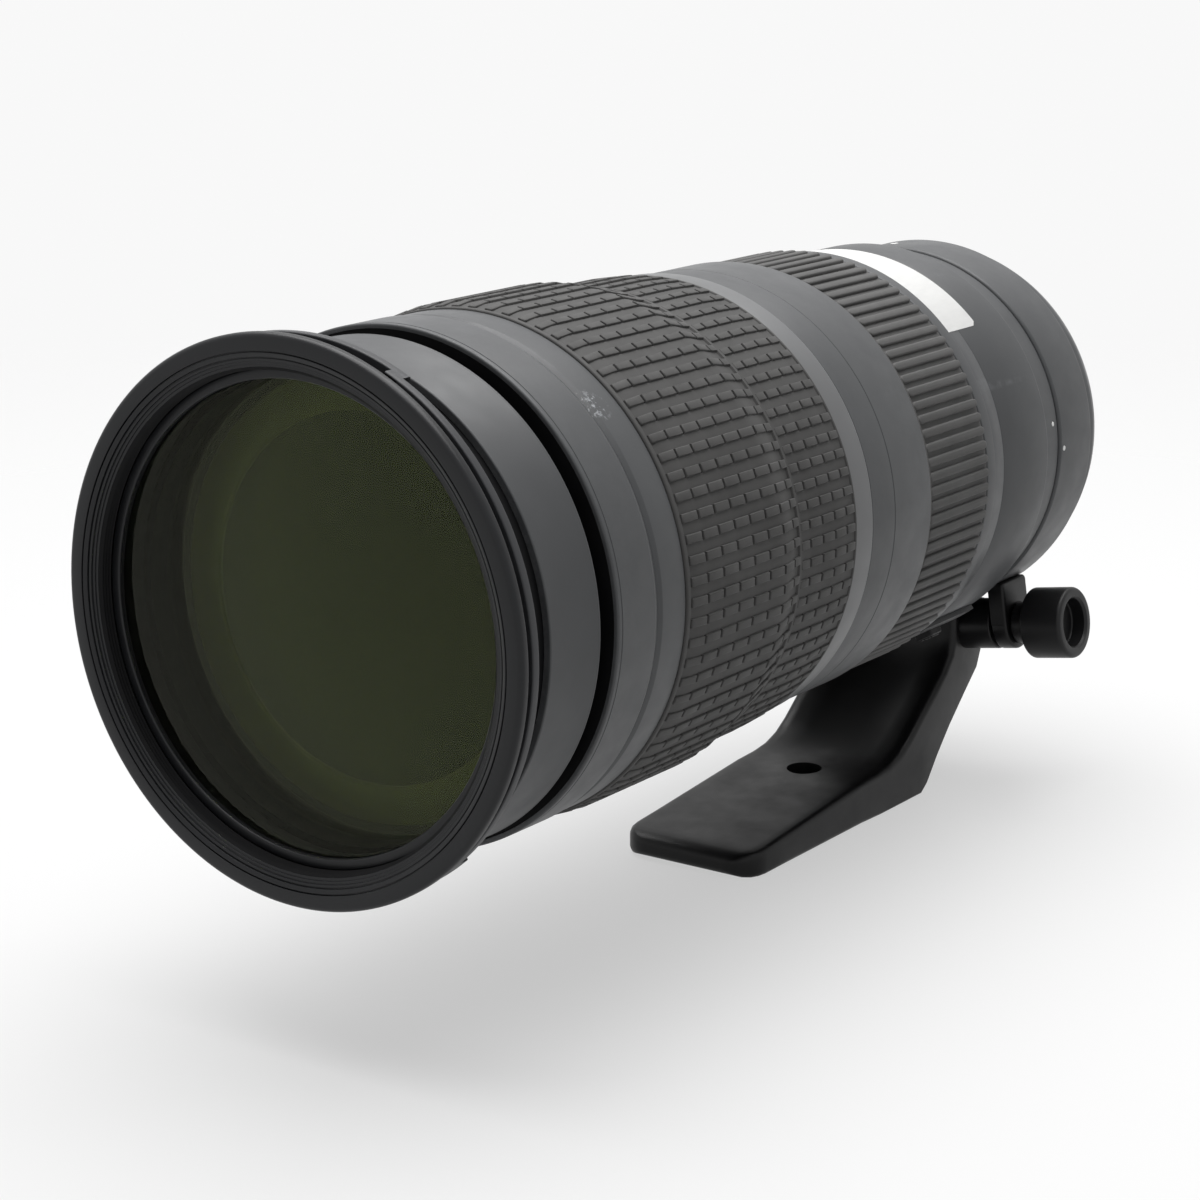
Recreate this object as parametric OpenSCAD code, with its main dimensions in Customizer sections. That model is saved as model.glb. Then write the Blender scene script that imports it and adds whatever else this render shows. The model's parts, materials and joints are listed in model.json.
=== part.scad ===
// Super-telephoto camera zoom lens with a tripod collar.
// The flange of the camera mount lies in the plane y = 0, the optical axis is the Y axis, the lens's front
// points to -Y and the foot of the collar points to -Z. Lengths are in millimetres.
// Pieces are drawn about a local Z axis that runs from the flange to the front, and are then laid along -Y.

/* [Camera mount] */
// Radius of the bayonet flange
flange_r = 32.5; // [31:0.1:34]
// Thickness of the bayonet flange
flange_t = 3; // [2.5:0.1:4]
// Radius of the bayonet tube behind the flange
bayonet_r = 21.9; // [21:0.1:22.5]
// Radius over the bayonet lugs
lug_r = 23.4; // [23:0.1:24.5]
// Length of the bayonet tube behind the flange
bayonet_len = 5.6; // [5:0.1:7]
// Thickness of a bayonet lug
lug_t = 1.4; // [1:0.1:2]
// Angle that one bayonet lug takes up
lug_angle = 52; // [30:1:70]
// Radius of the rear throat
throat_r = 18.5; // [17:0.1:19.5]
// Radius of the circle of mount screws
mount_screw_pcr = 28; // [27:0.1:29]
// Radius of a mount screw's head
mount_screw_r = 1.8; // [1.5:0.1:2.2]
// Number of contact pins
contact_count = 8; // [5:1:9]

/* [Lengths along the lens] */
// Length of the rear cover
cover_len = 20.6; // [18:0.1:26]
// Width of the tripod collar
collar_w = 16.7; // [14:0.1:20]
// Length of the narrow band ahead of the collar
band_len = 9.3; // [7:0.1:14]
// Length of the rear barrel that carries the switches
rear_len = 29.1; // [28:0.1:40]
// Length of the focus ring
focus_ring_len = 31.9; // [28:0.1:40]
// Length of the middle barrel
mid_len = 25.3; // [24:0.1:34]
// Length of the zoom ring
zoom_ring_len = 82.8; // [80:0.1:95]
// Length of the mouth ring
mouth_len = 13.5; // [12:0.1:18]
// Open gap between the mouth ring and the front sleeve
sleeve_gap = 3.4; // [2:0.1:6]
// Length of the front sleeve
sleeve_len = 17.3; // [16:0.1:22]
// Length of the front ring
front_ring_len = 12.8; // [12:0.1:16]

/* [Radii and walls] */
// Inner radius of the guide tube, which all sliding groups share
bore_r = 44.8; // [44:0.1:46]
// Wall of the guide tube
guide_wall = 1.4; // [1.2:0.1:2]
// Wall of the cam tube
cam_wall = 1.6; // [1.4:0.1:2]
// Wall of the zoom ring under its rubber
zoom_wall = 1.3; // [1:0.1:2]
// Thickness of the zoom ring's rubber
zoom_rubber = 1.5; // [1:0.1:2]
// How far the zoom ring's lip stands out over the rear part of its rubber
lip_step = 0.6; // [0.2:0.1:1]
// How far the front part of the rubber stands out over the lip
grip_swell = 1.2; // [0.6:0.1:1.5]
// Thickness of the pale ring behind the rubber
accent_t = 0.5; // [0.4:0.1:0.9]
// Wall of the focus ring under its rubber
focus_wall = 1.1; // [0.9:0.1:1.6]
// Thickness of the focus ring's rubber
focus_rubber = 1.3; // [1:0.1:2]
// Wall of the extension tube
extension_wall = 1.5; // [1.2:0.1:2]
// How far the rear barrel stands out over the guide tube
barrel_step = 0.6; // [0.4:0.1:1.5]
// Step down from the rear barrel to the narrow band
band_step = 2.5; // [1.5:0.1:2.8]
// Step down from the narrow band to the seat that the collar turns on
seat_step = 2.4; // [2:0.1:3]
// Wall between the rear barrel's outside and the chamber behind the focus group
chamber_wall = 3.6; // [3.2:0.1:4]
// Wall of the collar's hoop
collar_wall = 2.82; // [2.4:0.02:4]
// How far the filter thread's wall lies outside the guide tube's bore
thread_step = 2.7; // [2.5:0.1:3.2]
// Wall between the filter thread and the front sleeve's outside
sleeve_step = 2.7; // [2.4:0.1:3.5]
// How far the front rim stands out over the sleeve
rim_step = 4.4; // [3.8:0.1:5]
// Length of the filter thread
thread_len = 4.5; // [3.5:0.1:5]

/* [Grips] */
// Length of the zoom ring's rubber
zoom_grip_len = 66.3; // [60:0.1:68]
// Length of the pale accent ring behind the zoom rubber
accent_len = 7.5; // [5:0.1:8]
// Length of the focus ring's rubber
focus_grip_len = 27.8; // [20:0.1:27.9]
// Rows of ribs round the zoom rubber
zoom_rib_count = 80; // [60:1:100]
// Rows of ribs round the focus rubber
focus_rib_count = 96; // [72:1:120]
// Height of the rubber ribs
rib_rise = 0.7; // [0.4:0.05:0.8]

/* [Motion] */
// Turn of the zoom ring from the short to the long end
zoom_turn = 160; // [120:1:170]
// Slide of the front barrel over the whole zoom
front_travel = 78; // [60:1:80]
// Slide of the variator towards the mount over the whole zoom
variator_travel = 12; // [11:0.5:12]
// Slide of the focus group from far to near
focus_travel = 8; // [4:0.5:9]
// Radius of a cam follower
follower_r = 2.5; // [2:0.1:2.8]

/* [Glass] */
// How far the front element's edge lies inside the filter thread
glass_inset = 0.3; // [0.2:0.1:0.9]
// Width of the retaining ring's lip over the front element
retainer_lip = 1.7; // [1.2:0.1:3]
// Middle thickness of the front element
front_glass_t = 12; // [11:0.1:12.5]
// Curvature radius of the front element's outer face
front_curve = 210; // [180:1:400]
// How far the front doublet's edge lies inside the front element's
doublet_inset = 1.8; // [1.6:0.1:3]
// Radius of the variator lenses
variator_glass_r = 31; // [28:0.5:33]
// Radius of the focus lens
focus_glass_r = 27; // [24:0.5:30]
// Radius of the stabiliser lens
shift_glass_r = 17; // [15:0.5:18]
// Radius of the rear lenses
rear_glass_r = 16; // [14:0.5:16.5]

/* [Stabiliser and iris] */
// Shift of the stabiliser lens each way
shift_travel = 1; // [0.5:0.1:1.2]
// Radius of the open iris
iris_open_r = 15; // [13:0.5:15.5]
// Width of an iris blade
blade_w = 6; // [5:0.1:6.5]
// Thickness of an iris blade
blade_t = 0.25; // [0.15:0.05:0.3]

/* [Collar and foot] */
// Angle of the collar's hinge, counted from +X towards +Z
hinge_angle = 120; // [110:1:130]
// Radius of the hinge pin
hinge_pin_r = 1; // [0.8:0.05:1.2]
// Outer radius of the hinge knuckles
knuckle_r = 2.2; // [2:0.1:2.4]
// How deep the hinge knuckles sit in the collar
knuckle_sink = 1.8; // [1.4:0.1:2]
// How far the clamp screw's line lies outside the collar
clamp_step = 8.7; // [7.5:0.1:10]
// Tilt of the clamp screw from the horizontal
clamp_tilt = 9; // [0:1:15]
// Radius of the clamp screw
clamp_screw_r = 2.5; // [2:0.1:3]
// Radius of the clamp ear and boss
ear_r = 6.2; // [5.5:0.1:6.5]
// Thickness of the clamp ear
ear_t = 4.2; // [3:0.1:5]
// Radius of the clamp knob
knob_r = 8.6; // [8:0.1:10]
// Length of the clamp knob
knob_len = 12; // [10:0.1:16]
// Radius of the recess in the knob's end
knob_recess_r = 5.85; // [4:0.1:6.5]
// Height of the optical axis over the foot's underside
foot_drop = 86; // [84:0.5:95]
// Width of the foot
foot_w = 36; // [30:0.5:40]
// Distance from the mount flange to the foot's front end
foot_front = 133; // [110:1:140]
// Distance from the mount flange to the foot's rear end
foot_rear = 53; // [50:1:56]
// Thickness of the foot at its front end
foot_tip_t = 5.5; // [5:0.1:8]
// Thickness of the foot where the neck starts
foot_root_t = 11; // [10:0.1:13]
// Rounding of the foot's front corners in plan
foot_corner_r = 7; // [4:0.5:10]
// Radius of the tripod thread's hole
tripod_hole_r = 3.175; // [3:0.025:4.8]
// Distance from the mount flange to the tripod hole
tripod_hole_at = 80.6; // [78:0.1:100]

/* [Switches] */
// Turn of the barrel inside the collar, which sets where the switches face
barrel_turn = -81; // [-180:1:180]
// Length of the switch panel along the lens
panel_len = 24; // [22:0.5:26]
// Angle of barrel that the switch panel covers
panel_angle = 58; // [50:1:70]
// How far the switch panel stands out
panel_t = 1.2; // [0.8:0.1:1.6]
// Travel of a two-position switch
switch_travel = 3; // [2:0.1:3.5]
// Height of a switch knob over the panel
switch_h = 1.4; // [1:0.1:2]

/* [Clearances] */
// Axial gap between turning and fixed rings
ring_gap = 0.3; // [0.2:0.05:0.5]
// Radial gap of tubes that slide or turn on each other
slide_gap = 0.3; // [0.2:0.05:0.4]
// Radial gap of parts that are fixed together
fit_gap = 0.05; // [0.02:0.01:0.1]
// Radial gap of turning fits
run_gap = 0.08; // [0.05:0.01:0.1]

/* [Hidden] */
$fn = 96;
ribbed_fn = 384;
over = 1;
full_turn = 360;
edge = 0.6;
fine_edge = 0.3;
thirds = 3;
wedge_room = 8;

// Number of iris blades, which the node list follows
blade_count = 9;

// Stations ahead of the flange
cover_front = flange_t + cover_len;
seat_front = cover_front + collar_w + 2 * ring_gap;
band_front = seat_front + band_len;
rear_front = band_front + rear_len;
focus_from = rear_front + ring_gap;
focus_to = focus_from + focus_ring_len;
mid_from = focus_to + ring_gap;
mid_to = mid_from + mid_len;
zoom_from = mid_to + ring_gap;
zoom_to = zoom_from + zoom_ring_len;
mouth_from = zoom_to + ring_gap;
mouth_to = mouth_from + mouth_len;
sleeve_from = mouth_to + sleeve_gap;
sleeve_to = sleeve_from + sleeve_len;
lens_len = sleeve_to + front_ring_len;
collar_from = cover_front + ring_gap;
collar_to = collar_from + collar_w;
collar_mid = (collar_from + collar_to) / 2;

// Radii that follow from the bore
extension_r = bore_r - slide_gap;
extension_in = extension_r - extension_wall;
guide_r = bore_r + guide_wall;
cam_in = guide_r + slide_gap;
cam_r = cam_in + cam_wall;
zoom_in = cam_r + fit_gap;
zoom_r = zoom_in + zoom_wall;
zoom_grip_r = zoom_r + zoom_rubber;
lip_r = zoom_grip_r + lip_step;
grip_front_r = lip_r + grip_swell;
mouth_r = lip_r + ring_gap;
barrel_r = guide_r + barrel_step;
band_r = barrel_r - band_step;
seat_r = band_r - seat_step;
chamber_r = barrel_r - chamber_wall;
collar_r = seat_r + run_gap + collar_wall;
clamp_r = collar_r + clamp_step;
thread_r = bore_r + thread_step;
sleeve_r = thread_r + sleeve_step;
rim_r = sleeve_r + rim_step;
front_glass_r = thread_r - glass_inset;
front_clear_r = front_glass_r - retainer_lip;
doublet_r = front_glass_r - doublet_inset;
focus_in = guide_r + slide_gap;
focus_r = focus_in + focus_wall;
focus_grip_r = focus_r + focus_rubber;

// Tubes of the zoom mechanism
joint_lap = 2.5;
guide_from = mid_from + joint_lap;
guide_to = mouth_to - 1.8;
cam_from = guide_from + joint_lap + ring_gap;
cam_to = guide_to - ring_gap;
variator_at = cam_from + follower_r + variator_travel + 1.5;
variator_half = 5;
variator_front = variator_at + variator_half;
extension_from = variator_front + 2 * ring_gap;
front_follower_at = extension_from + follower_r + 2.5;
slot_gap = 0.15;
slot_w = 2 * (follower_r + slot_gap);
follower_stem_r = 1.4;
follower_count = 3;
follower_step = 360 / follower_count;
variator_offset = 60;
zoom_screw_r = 1.2;

// Front group
rim_front = lens_len;
ledge_at = lens_len - thread_len;
retainer_t = 5;
glass_edge_at = ledge_at - retainer_t;
front_vertex = glass_edge_at + front_curve - sqrt(pow(front_curve, 2) - pow(front_clear_r, 2));
front_glass_from = front_vertex - front_glass_t;
spacer_t = 1.2;
doublet_to = front_glass_from - spacer_t;
doublet_from = sleeve_from + spacer_t;
sleeve_wall = 1.6;
cell_r = sleeve_r - sleeve_wall;
cell_from = sleeve_from;
rib_w = 1.8;
channel_r = sleeve_r;
rib_r = rim_r - edge;
rim_t = 4.3;
stop_angles = [66, -48];
stop_w = 2;
lead_in_len = 1.4;
lead_in_w = 2.4;
lip_t = 0.4;

// Chamber behind the focus group
wall_shoulder = seat_front + 1;
rear_cell_t = 2.4;
iris_from = band_front + 0.3;
iris_plate_t = 3;
blade_pitch = blade_t + 0.15;
blade_from = iris_from + iris_plate_t + 0.2;
iris_ledge = blade_from + blade_count * blade_pitch + 0.1;
iris_ring_t = 1.6;
blade_in = iris_open_r + 0.6;
blade_out = blade_in + blade_w;
blade_pivot = blade_out + 2.6;
blade_pin_r = 0.8;
iris_wall_in = blade_pivot + 3;
iris_ring_out = iris_wall_in + 3.2;
iris_to = iris_ledge + iris_ring_t + 0.4;
motor_t = 3.6;
rotor_from = rear_front - motor_t;
motor_from = rotor_from - ring_gap - motor_t;
motor_w = 7.2;
motor_in = chamber_r - motor_w;
shift_from = iris_to + 0.6;
carrier_t = 2.4;
shift_lip_t = 0.8;
shift_lip_w = 1.2;
shift_curve = 60;
shift_guide_t = 1.6;
shift_gap = 0.2;
shift_room = 2;
shift_window_r = shift_glass_r + 3 * shift_room;
shift_guide_r = chamber_r - shift_travel - shift_room;
carrier_r = shift_guide_r - shift_travel - shift_room;
shift_guide_from = shift_from + carrier_t + shift_gap;
shift_base_from = shift_guide_from + shift_guide_t + shift_gap;
shift_base_to = motor_from - 0.3;
focus_rest = 3;
focus_cell_from = rear_front + focus_rest;
focus_cell_len = 15;
focus_glass_t = 10;
focus_curve = 90;
lens_lip = 2;
lens_lip_t = 1;
focus_key_r = 1.5;
focus_key_angle = 30;
focus_key_at = focus_cell_from + focus_cell_len / 2;

// Tripod collar
clamp_angle = hinge_angle - 180;
collar_in = seat_r + run_gap;
hinge_r = collar_r + knuckle_r - knuckle_sink;
split_gap = 0.4;
neck_run = 15;
plate_top_rear = foot_rear + neck_run;
root_run = 5;
toe_edge = 1;
heel_run = [2, 12];
heel_rise = [3.5, 14, 27.5];
neck_rise = [31, 19, 3];
neck_inset = 0.4;
boss_len = 11;
boss_bore_len = 8;
knob_stem_r = 5;
knob_stem_len = 3;
screw_room = 2;

// Lays a piece along the lens, local Z becoming -Y and local Y becoming +Z
module along_lens() {
    rotate([90, 0, 0])
        children();
}

// A solid of revolution about the lens axis from a profile of [radius, station] points
module turned(points) {
    rotate_extrude()
        polygon(points);
}

// A plain tube between two stations
module tube(from, to, r_out, r_in) {
    turned([[r_in, from], [r_out, from], [r_out, to], [r_in, to]]);
}

// A wedge of space about the axis from one angle to another, less than half a turn
module wedge(from, to, reach, low, high) {
    mid = (from + to) / 2;
    far = reach / cos((to - from) / 4);
    translate([0, 0, low])
        linear_extrude(height = high - low)
            polygon([
                [0, 0],
                [far * cos(from), far * sin(from)],
                [far * cos(mid), far * sin(mid)],
                [far * cos(to), far * sin(to)]
            ]);
}

// Puts children on a radius at an angle, their local Z pointing outwards
module radial(angle, at) {
    rotate([0, 0, angle])
        translate([0, 0, at])
            rotate([0, 90, 0])
                children();
}

// The space kept behind a bulging face, or everything for a flat or hollow one
module kept_side(curve, reach) {
    if (curve > 0)
        sphere(r = curve);
    else
        cylinder(h = 8 * reach, r = 2 * reach, center = true);
}

// Depth by which a hollow face's rim stands past its middle
function rim_depth(curve, r) = curve < 0 ? -curve - sqrt(pow(curve, 2) - pow(r, 2)) : 0;

// A lens blank between its middle faces; a positive curve bulges, a negative one hollows, zero is flat
module glass(r, from, to, front, rear) {
    low = from - rim_depth(rear, r);
    high = to + rim_depth(front, r);
    difference() {
        intersection() {
            translate([0, 0, low])
                cylinder(h = high - low, r = r);
            translate([0, 0, to - max(front, 0)])
                kept_side(front, r);
            translate([0, 0, from + max(rear, 0)])
                kept_side(rear, r);
        }
        if (front < 0)
            translate([0, 0, to - front])
                sphere(r = -front);
        if (rear < 0)
            translate([0, 0, from + rear])
                sphere(r = -rear);
    }
}

// The front ring: filter thread inside, rim in front and the hood bayonet's stepped ribs outside
module front_ring() {
    half_turn = full_turn / 2;
    rim_rear = rim_front - rim_t;
    front_rib_from = rim_rear - rib_w - edge;
    rear_rib_from = stop_angles[0] + stop_w;
    rear_rib_end = stop_angles[1] + half_turn - stop_w;
    color("#1b1c1d")
        along_lens()
            difference() {
                turned([
                    [thread_r, ledge_at],
                    [thread_r, rim_front - lead_in_len],
                    [thread_r + lead_in_w, rim_front],
                    [rim_r - edge, rim_front],
                    [rim_r, rim_front - edge],
                    [rim_r, rim_rear],
                    [rib_r, rim_rear],
                    [rib_r, sleeve_to],
                    [cell_r + fit_gap, sleeve_to],
                    [cell_r + fit_gap, ledge_at]
                ]);
                for (half = [0, half_turn])
                    rotate([0, 0, half]) {
                        hood_pocket(stop_angles[1], stop_angles[0], sleeve_to - over, front_rib_from);
                        hood_pocket(rear_rib_from, rear_rib_end, sleeve_to + rib_w, rim_rear - edge);
                    }
            }
}

// One pocket of the hood bayonet, from the channel's floor outwards
module hood_pocket(from, to, low, high) {
    intersection() {
        tube(low, high, rim_r + over, channel_r);
        wedge(from, to, rim_r + wedge_room, low, high);
    }
}

// The black ring that holds the front element
module front_retainer() {
    color("#141516")
        along_lens()
            turned([
                [front_clear_r, glass_edge_at + fit_gap],
                [front_glass_r, glass_edge_at + fit_gap],
                [front_glass_r, ledge_at - lip_t],
                [thread_r - fit_gap, ledge_at - lip_t],
                [thread_r - fit_gap, ledge_at],
                [front_clear_r, ledge_at]
            ]);
}

// The front element
module front_element() {
    color("#4a4f2c", 0.6)
        along_lens()
            glass(front_glass_r, front_glass_from, front_vertex, front_curve, 0);
}

// The cemented front doublet: a crown and a flint blank
module front_doublet() {
    joint_at = (doublet_from + doublet_to) / 2;
    flint_hollow = 420;
    crown_bulge = 280;
    color("#56603c", 0.6)
        along_lens() {
            glass(doublet_r, joint_at + fit_gap, doublet_to, crown_bulge, 0);
            glass(doublet_r, doublet_from + rim_depth(-flint_hollow, doublet_r), joint_at, 0, -flint_hollow);
        }
}

// The metal cell that holds the front group and carries the sleeve and the front ring
module front_cell() {
    color("#222324")
        along_lens()
            turned([
                [extension_in + edge, cell_from],
                [cell_r, cell_from],
                [cell_r, ledge_at - edge],
                [front_glass_r + fit_gap, ledge_at - edge],
                [front_glass_r + fit_gap, front_glass_from],
                [doublet_r + fit_gap, front_glass_from],
                [doublet_r + fit_gap, doublet_from],
                [extension_in + edge, doublet_from]
            ]);
}

// The smooth sleeve behind the front ring
module front_sleeve() {
    color("#4b4d4f")
        along_lens()
            turned([
                [cell_r + fit_gap, sleeve_from],
                [sleeve_r - edge, sleeve_from],
                [sleeve_r, sleeve_from + edge],
                [sleeve_r, sleeve_to],
                [cell_r + fit_gap, sleeve_to]
            ]);
}

// The tube that slides out with the front group
module extension_tube() {
    color("#26282a")
        along_lens()
            difference() {
                tube(extension_from, cell_from, extension_r, extension_in);
                follower_holes(front_follower_at, 0);
            }
}

// Holes for the stems of three followers
module follower_holes(at, offset) {
    for (k = [0 : follower_count - 1])
        radial(offset + k * follower_step, at)
            cylinder(h = cam_r, r = follower_stem_r + fit_gap);
}

// Three cam followers: a stem in the sliding group and a roller in the slots
module followers(at, offset) {
    roller_low = extension_r + fit_gap;
    roller_high = cam_r - slide_gap;
    for (k = [0 : follower_count - 1])
        radial(offset + k * follower_step, at) {
            translate([0, 0, extension_in + fine_edge])
                cylinder(h = roller_low - extension_in, r = follower_stem_r);
            translate([0, 0, roller_low])
                cylinder(h = roller_high - roller_low, r = follower_r);
        }
}

module front_followers() {
    color("#b9a36a")
        along_lens()
            followers(front_follower_at, 0);
}

// A straight slot through a tube from one station to another
module straight_slot(angle, from, to, width, reach) {
    rotate([0, 0, angle])
        translate([0, -width / 2, from])
            cube([reach, width, to - from]);
}

// The fixed tube whose straight slots keep the sliding groups from turning
module guide_tube() {
    ends = follower_r + slot_gap;
    color("#8d9092")
        along_lens()
            difference() {
                tube(guide_from, guide_to, guide_r, bore_r);
                for (k = [0 : follower_count - 1]) {
                    straight_slot(k * follower_step, front_follower_at - ends,
                        front_follower_at + front_travel + ends, slot_w, cam_r);
                    straight_slot(variator_offset + k * follower_step, variator_at - variator_travel - ends,
                        variator_at + ends, slot_w, cam_r);
                }
            }
}

// Points of a helical slot, four to a station: the slot's two edges at the inner and the outer radius
function slot_points(from, travel, offset, steps) = [
    for (k = [0 : steps])
        let (
            share = -end_share(travel) + (1 + 2 * end_share(travel)) * k / steps,
            arc = zoom_turn * PI / 180 * cam_r,
            run = sqrt(pow(arc, 2) + pow(travel, 2)),
            half = slot_w / 2,
            side_arc = half * travel / run,
            side_up = half * arc / run
        )
        for (edge = [-1, 1], r = [cam_in - over, cam_r + over])
            let (turn = offset - zoom_turn * share + edge * side_arc / cam_r * 180 / PI)
            [r * cos(turn), r * sin(turn), from + travel * share + edge * side_up]
];

// Share of the whole turn by which a slot runs past the follower's end positions
function end_share(travel) = (follower_r + slot_gap)
    / sqrt(pow(zoom_turn * PI / 180 * cam_r, 2) + pow(travel, 2));

// Faces of that slot: two triangles for each side between stations, and the two ends
function slot_faces(steps) = concat(
    [[0, 1, 3], [0, 3, 2]],
    [
        for (k = [0 : steps - 1], pair = [[0, 2], [2, 3], [3, 1], [1, 0]])
            let (a = 4 * k + pair[0], b = 4 * k + pair[1])
            each [[a, b, b + 4], [a, b + 4, a + 4]]
    ],
    [[4 * steps, 4 * steps + 3, 4 * steps + 1], [4 * steps, 4 * steps + 2, 4 * steps + 3]]
);

module helical_slot(from, travel, offset) {
    steps = 28;
    polyhedron(points = slot_points(from, travel, offset, steps), faces = slot_faces(steps));
}

// The turning tube whose helical slots push the followers along
module cam_tube() {
    color("#3a3d40")
        along_lens()
            difference() {
                tube(cam_from, cam_to, cam_r, cam_in);
                for (k = [0 : follower_count - 1]) {
                    helical_slot(front_follower_at, front_travel, k * follower_step);
                    helical_slot(variator_at, -variator_travel, variator_offset + k * follower_step);
                }
                zoom_screw_shapes(zoom_screw_r + fit_gap);
            }
}

// Three radial screws between the zoom ring and the cam tube
module zoom_screw_shapes(r) {
    first_angle = 20;
    for (k = [0 : thirds - 1])
        radial(first_angle + k * 360 / thirds, zoom_from + 2 * zoom_screw_r)
            translate([0, 0, cam_in + fine_edge])
                cylinder(h = zoom_r - cam_in - 2 * fine_edge, r = r);
}

module zoom_screws() {
    color("#707375")
        along_lens()
            zoom_screw_shapes(zoom_screw_r);
}

// The zoom ring's shell, with a smooth lip ahead of the rubber
module zoom_ring() {
    grip_to = zoom_from + accent_len + zoom_grip_len;
    color("#4b4d4f")
        along_lens()
            difference() {
                turned([
                    [zoom_in, zoom_from],
                    [zoom_r, zoom_from],
                    [zoom_r, grip_to],
                    [lip_r, grip_to],
                    [lip_r, zoom_to - fine_edge],
                    [lip_r - fine_edge, zoom_to],
                    [zoom_in, zoom_to]
                ]);
                zoom_screw_shapes(zoom_screw_r + fit_gap);
            }
}

// The rubber of the zoom ring
zoom_rib_share = 0.45;
seam_share = 0.35;
seam_turn = 0.35;
seam_half = 0.5;
seam_rise = 0.2;
module zoom_grip() {
    from = zoom_from + accent_len;
    to = from + zoom_grip_len;
    seam = from + seam_share * zoom_grip_len;
    color("#333436")
        along_lens()
            difference() {
                union() {
                    rotate([0, 0, -seam_turn * full_turn / zoom_rib_count])
                        ribbed_bar(from, seam - seam_half / 2, zoom_grip_r, zoom_rib_count, zoom_rib_share);
                    ribbed_bar(seam + seam_half / 2, to, grip_front_r, zoom_rib_count, zoom_rib_share);
                    translate([0, 0, seam - seam_half])
                        cylinder(h = 2 * seam_half, r = zoom_grip_r - rib_rise + seam_rise, $fn = ribbed_fn);
                }
                translate([0, 0, from - over])
                    cylinder(h = zoom_grip_len + 2 * over, r = zoom_r + fit_gap, $fn = ribbed_fn);
            }
}

// A bar with raised ribs along its length, each taking a share of its row
module ribbed_bar(from, to, r, count, share) {
    row = full_turn / count;
    half = share * row / 2;
    valley = r - rib_rise;
    translate([0, 0, from])
        linear_extrude(height = to - from)
            polygon([
                for (k = [0 : count - 1], corner = [[valley, -half], [r, -half], [r, half], [valley, half]])
                    corner[0] * [cos(k * row + corner[1]), sin(k * row + corner[1])]
            ]);
}

// The pale ring behind the zoom rubber
module accent_ring() {
    color("#8b8d8f")
        along_lens()
            turned([
                [zoom_r + fit_gap, zoom_from],
                [zoom_r + fine_edge, zoom_from],
                [zoom_r + accent_t, zoom_from + edge],
                [zoom_r + accent_t, zoom_from + accent_len],
                [zoom_r + fit_gap, zoom_from + accent_len]
            ]);
}

// The fixed ring at the mouth of the barrel
module mouth_ring() {
    color("#4b4d4f")
        along_lens()
            turned([
                [cam_r + slide_gap, mouth_from],
                [mouth_r - fine_edge, mouth_from],
                [mouth_r, mouth_from + fine_edge],
                [mouth_r, mouth_to - edge],
                [mouth_r - edge, mouth_to],
                [bore_r, mouth_to],
                [bore_r, guide_to],
                [cam_r + slide_gap, guide_to]
            ]);
}

// The fixed barrel between the zoom ring and the focus ring, which joins the guide tube to the rear barrel
module middle_barrel() {
    color("#4b4d4f")
        along_lens()
            difference() {
                turned([
                    [guide_r + fit_gap, mid_from],
                    [zoom_r - edge, mid_from],
                    [zoom_r, mid_from + 3 * edge],
                    [zoom_r, mid_to],
                    [cam_r + slide_gap, mid_to],
                    [cam_r + slide_gap, cam_from - ring_gap],
                    [guide_r + fit_gap, cam_from - ring_gap]
                ]);
                zoom_lock_slot();
            }
}

// The slot that the zoom lock's stem slides in
lock_at = mid_from + 12;
lock_stem_w = 2;
lock_stem_len = 2.4;
lock_len = 6;
lock_w = 7;
module zoom_lock_slot() {
    half = lock_stem_len / 2 + slide_gap;
    straight_slot(barrel_turn, lock_at - half, lock_at + half + switch_travel,
        lock_stem_w + 2 * slide_gap, zoom_r + over);
}

// The sliding zoom lock
module zoom_lock_switch() {
    color("#2a2b2d")
        along_lens()
            rotate([0, 0, barrel_turn]) {
                translate([cam_r + 2 * slide_gap, -lock_stem_w / 2, lock_at - lock_stem_len / 2])
                    cube([zoom_r - cam_r, lock_stem_w, lock_stem_len]);
                translate([zoom_r + slide_gap / 2, -lock_w / 2, lock_at - lock_len / 2])
                    cube([switch_h, lock_w, lock_len]);
            }
}

// The focus ring's shell, with a narrow lip behind the rubber
module focus_ring() {
    grip_from = focus_to - focus_grip_len;
    color("#3c3e40")
        along_lens()
            turned([
                [focus_in, focus_from],
                [focus_r + fit_gap, focus_from],
                [focus_r + edge, focus_from + edge],
                [focus_r + edge, grip_from],
                [focus_r, grip_from],
                [focus_r, focus_to],
                [focus_in, focus_to]
            ]);
}

// The rubber of the focus ring
focus_rib_share = 0.66;
module focus_grip() {
    from = focus_to - focus_grip_len;
    color("#303133")
        along_lens()
            difference() {
                ribbed_bar(from, focus_to, focus_grip_r, focus_rib_count, focus_rib_share);
                translate([0, 0, from - over])
                    cylinder(h = focus_grip_len + 2 * over, r = focus_r + fit_gap, $fn = ribbed_fn);
            }
}

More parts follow.
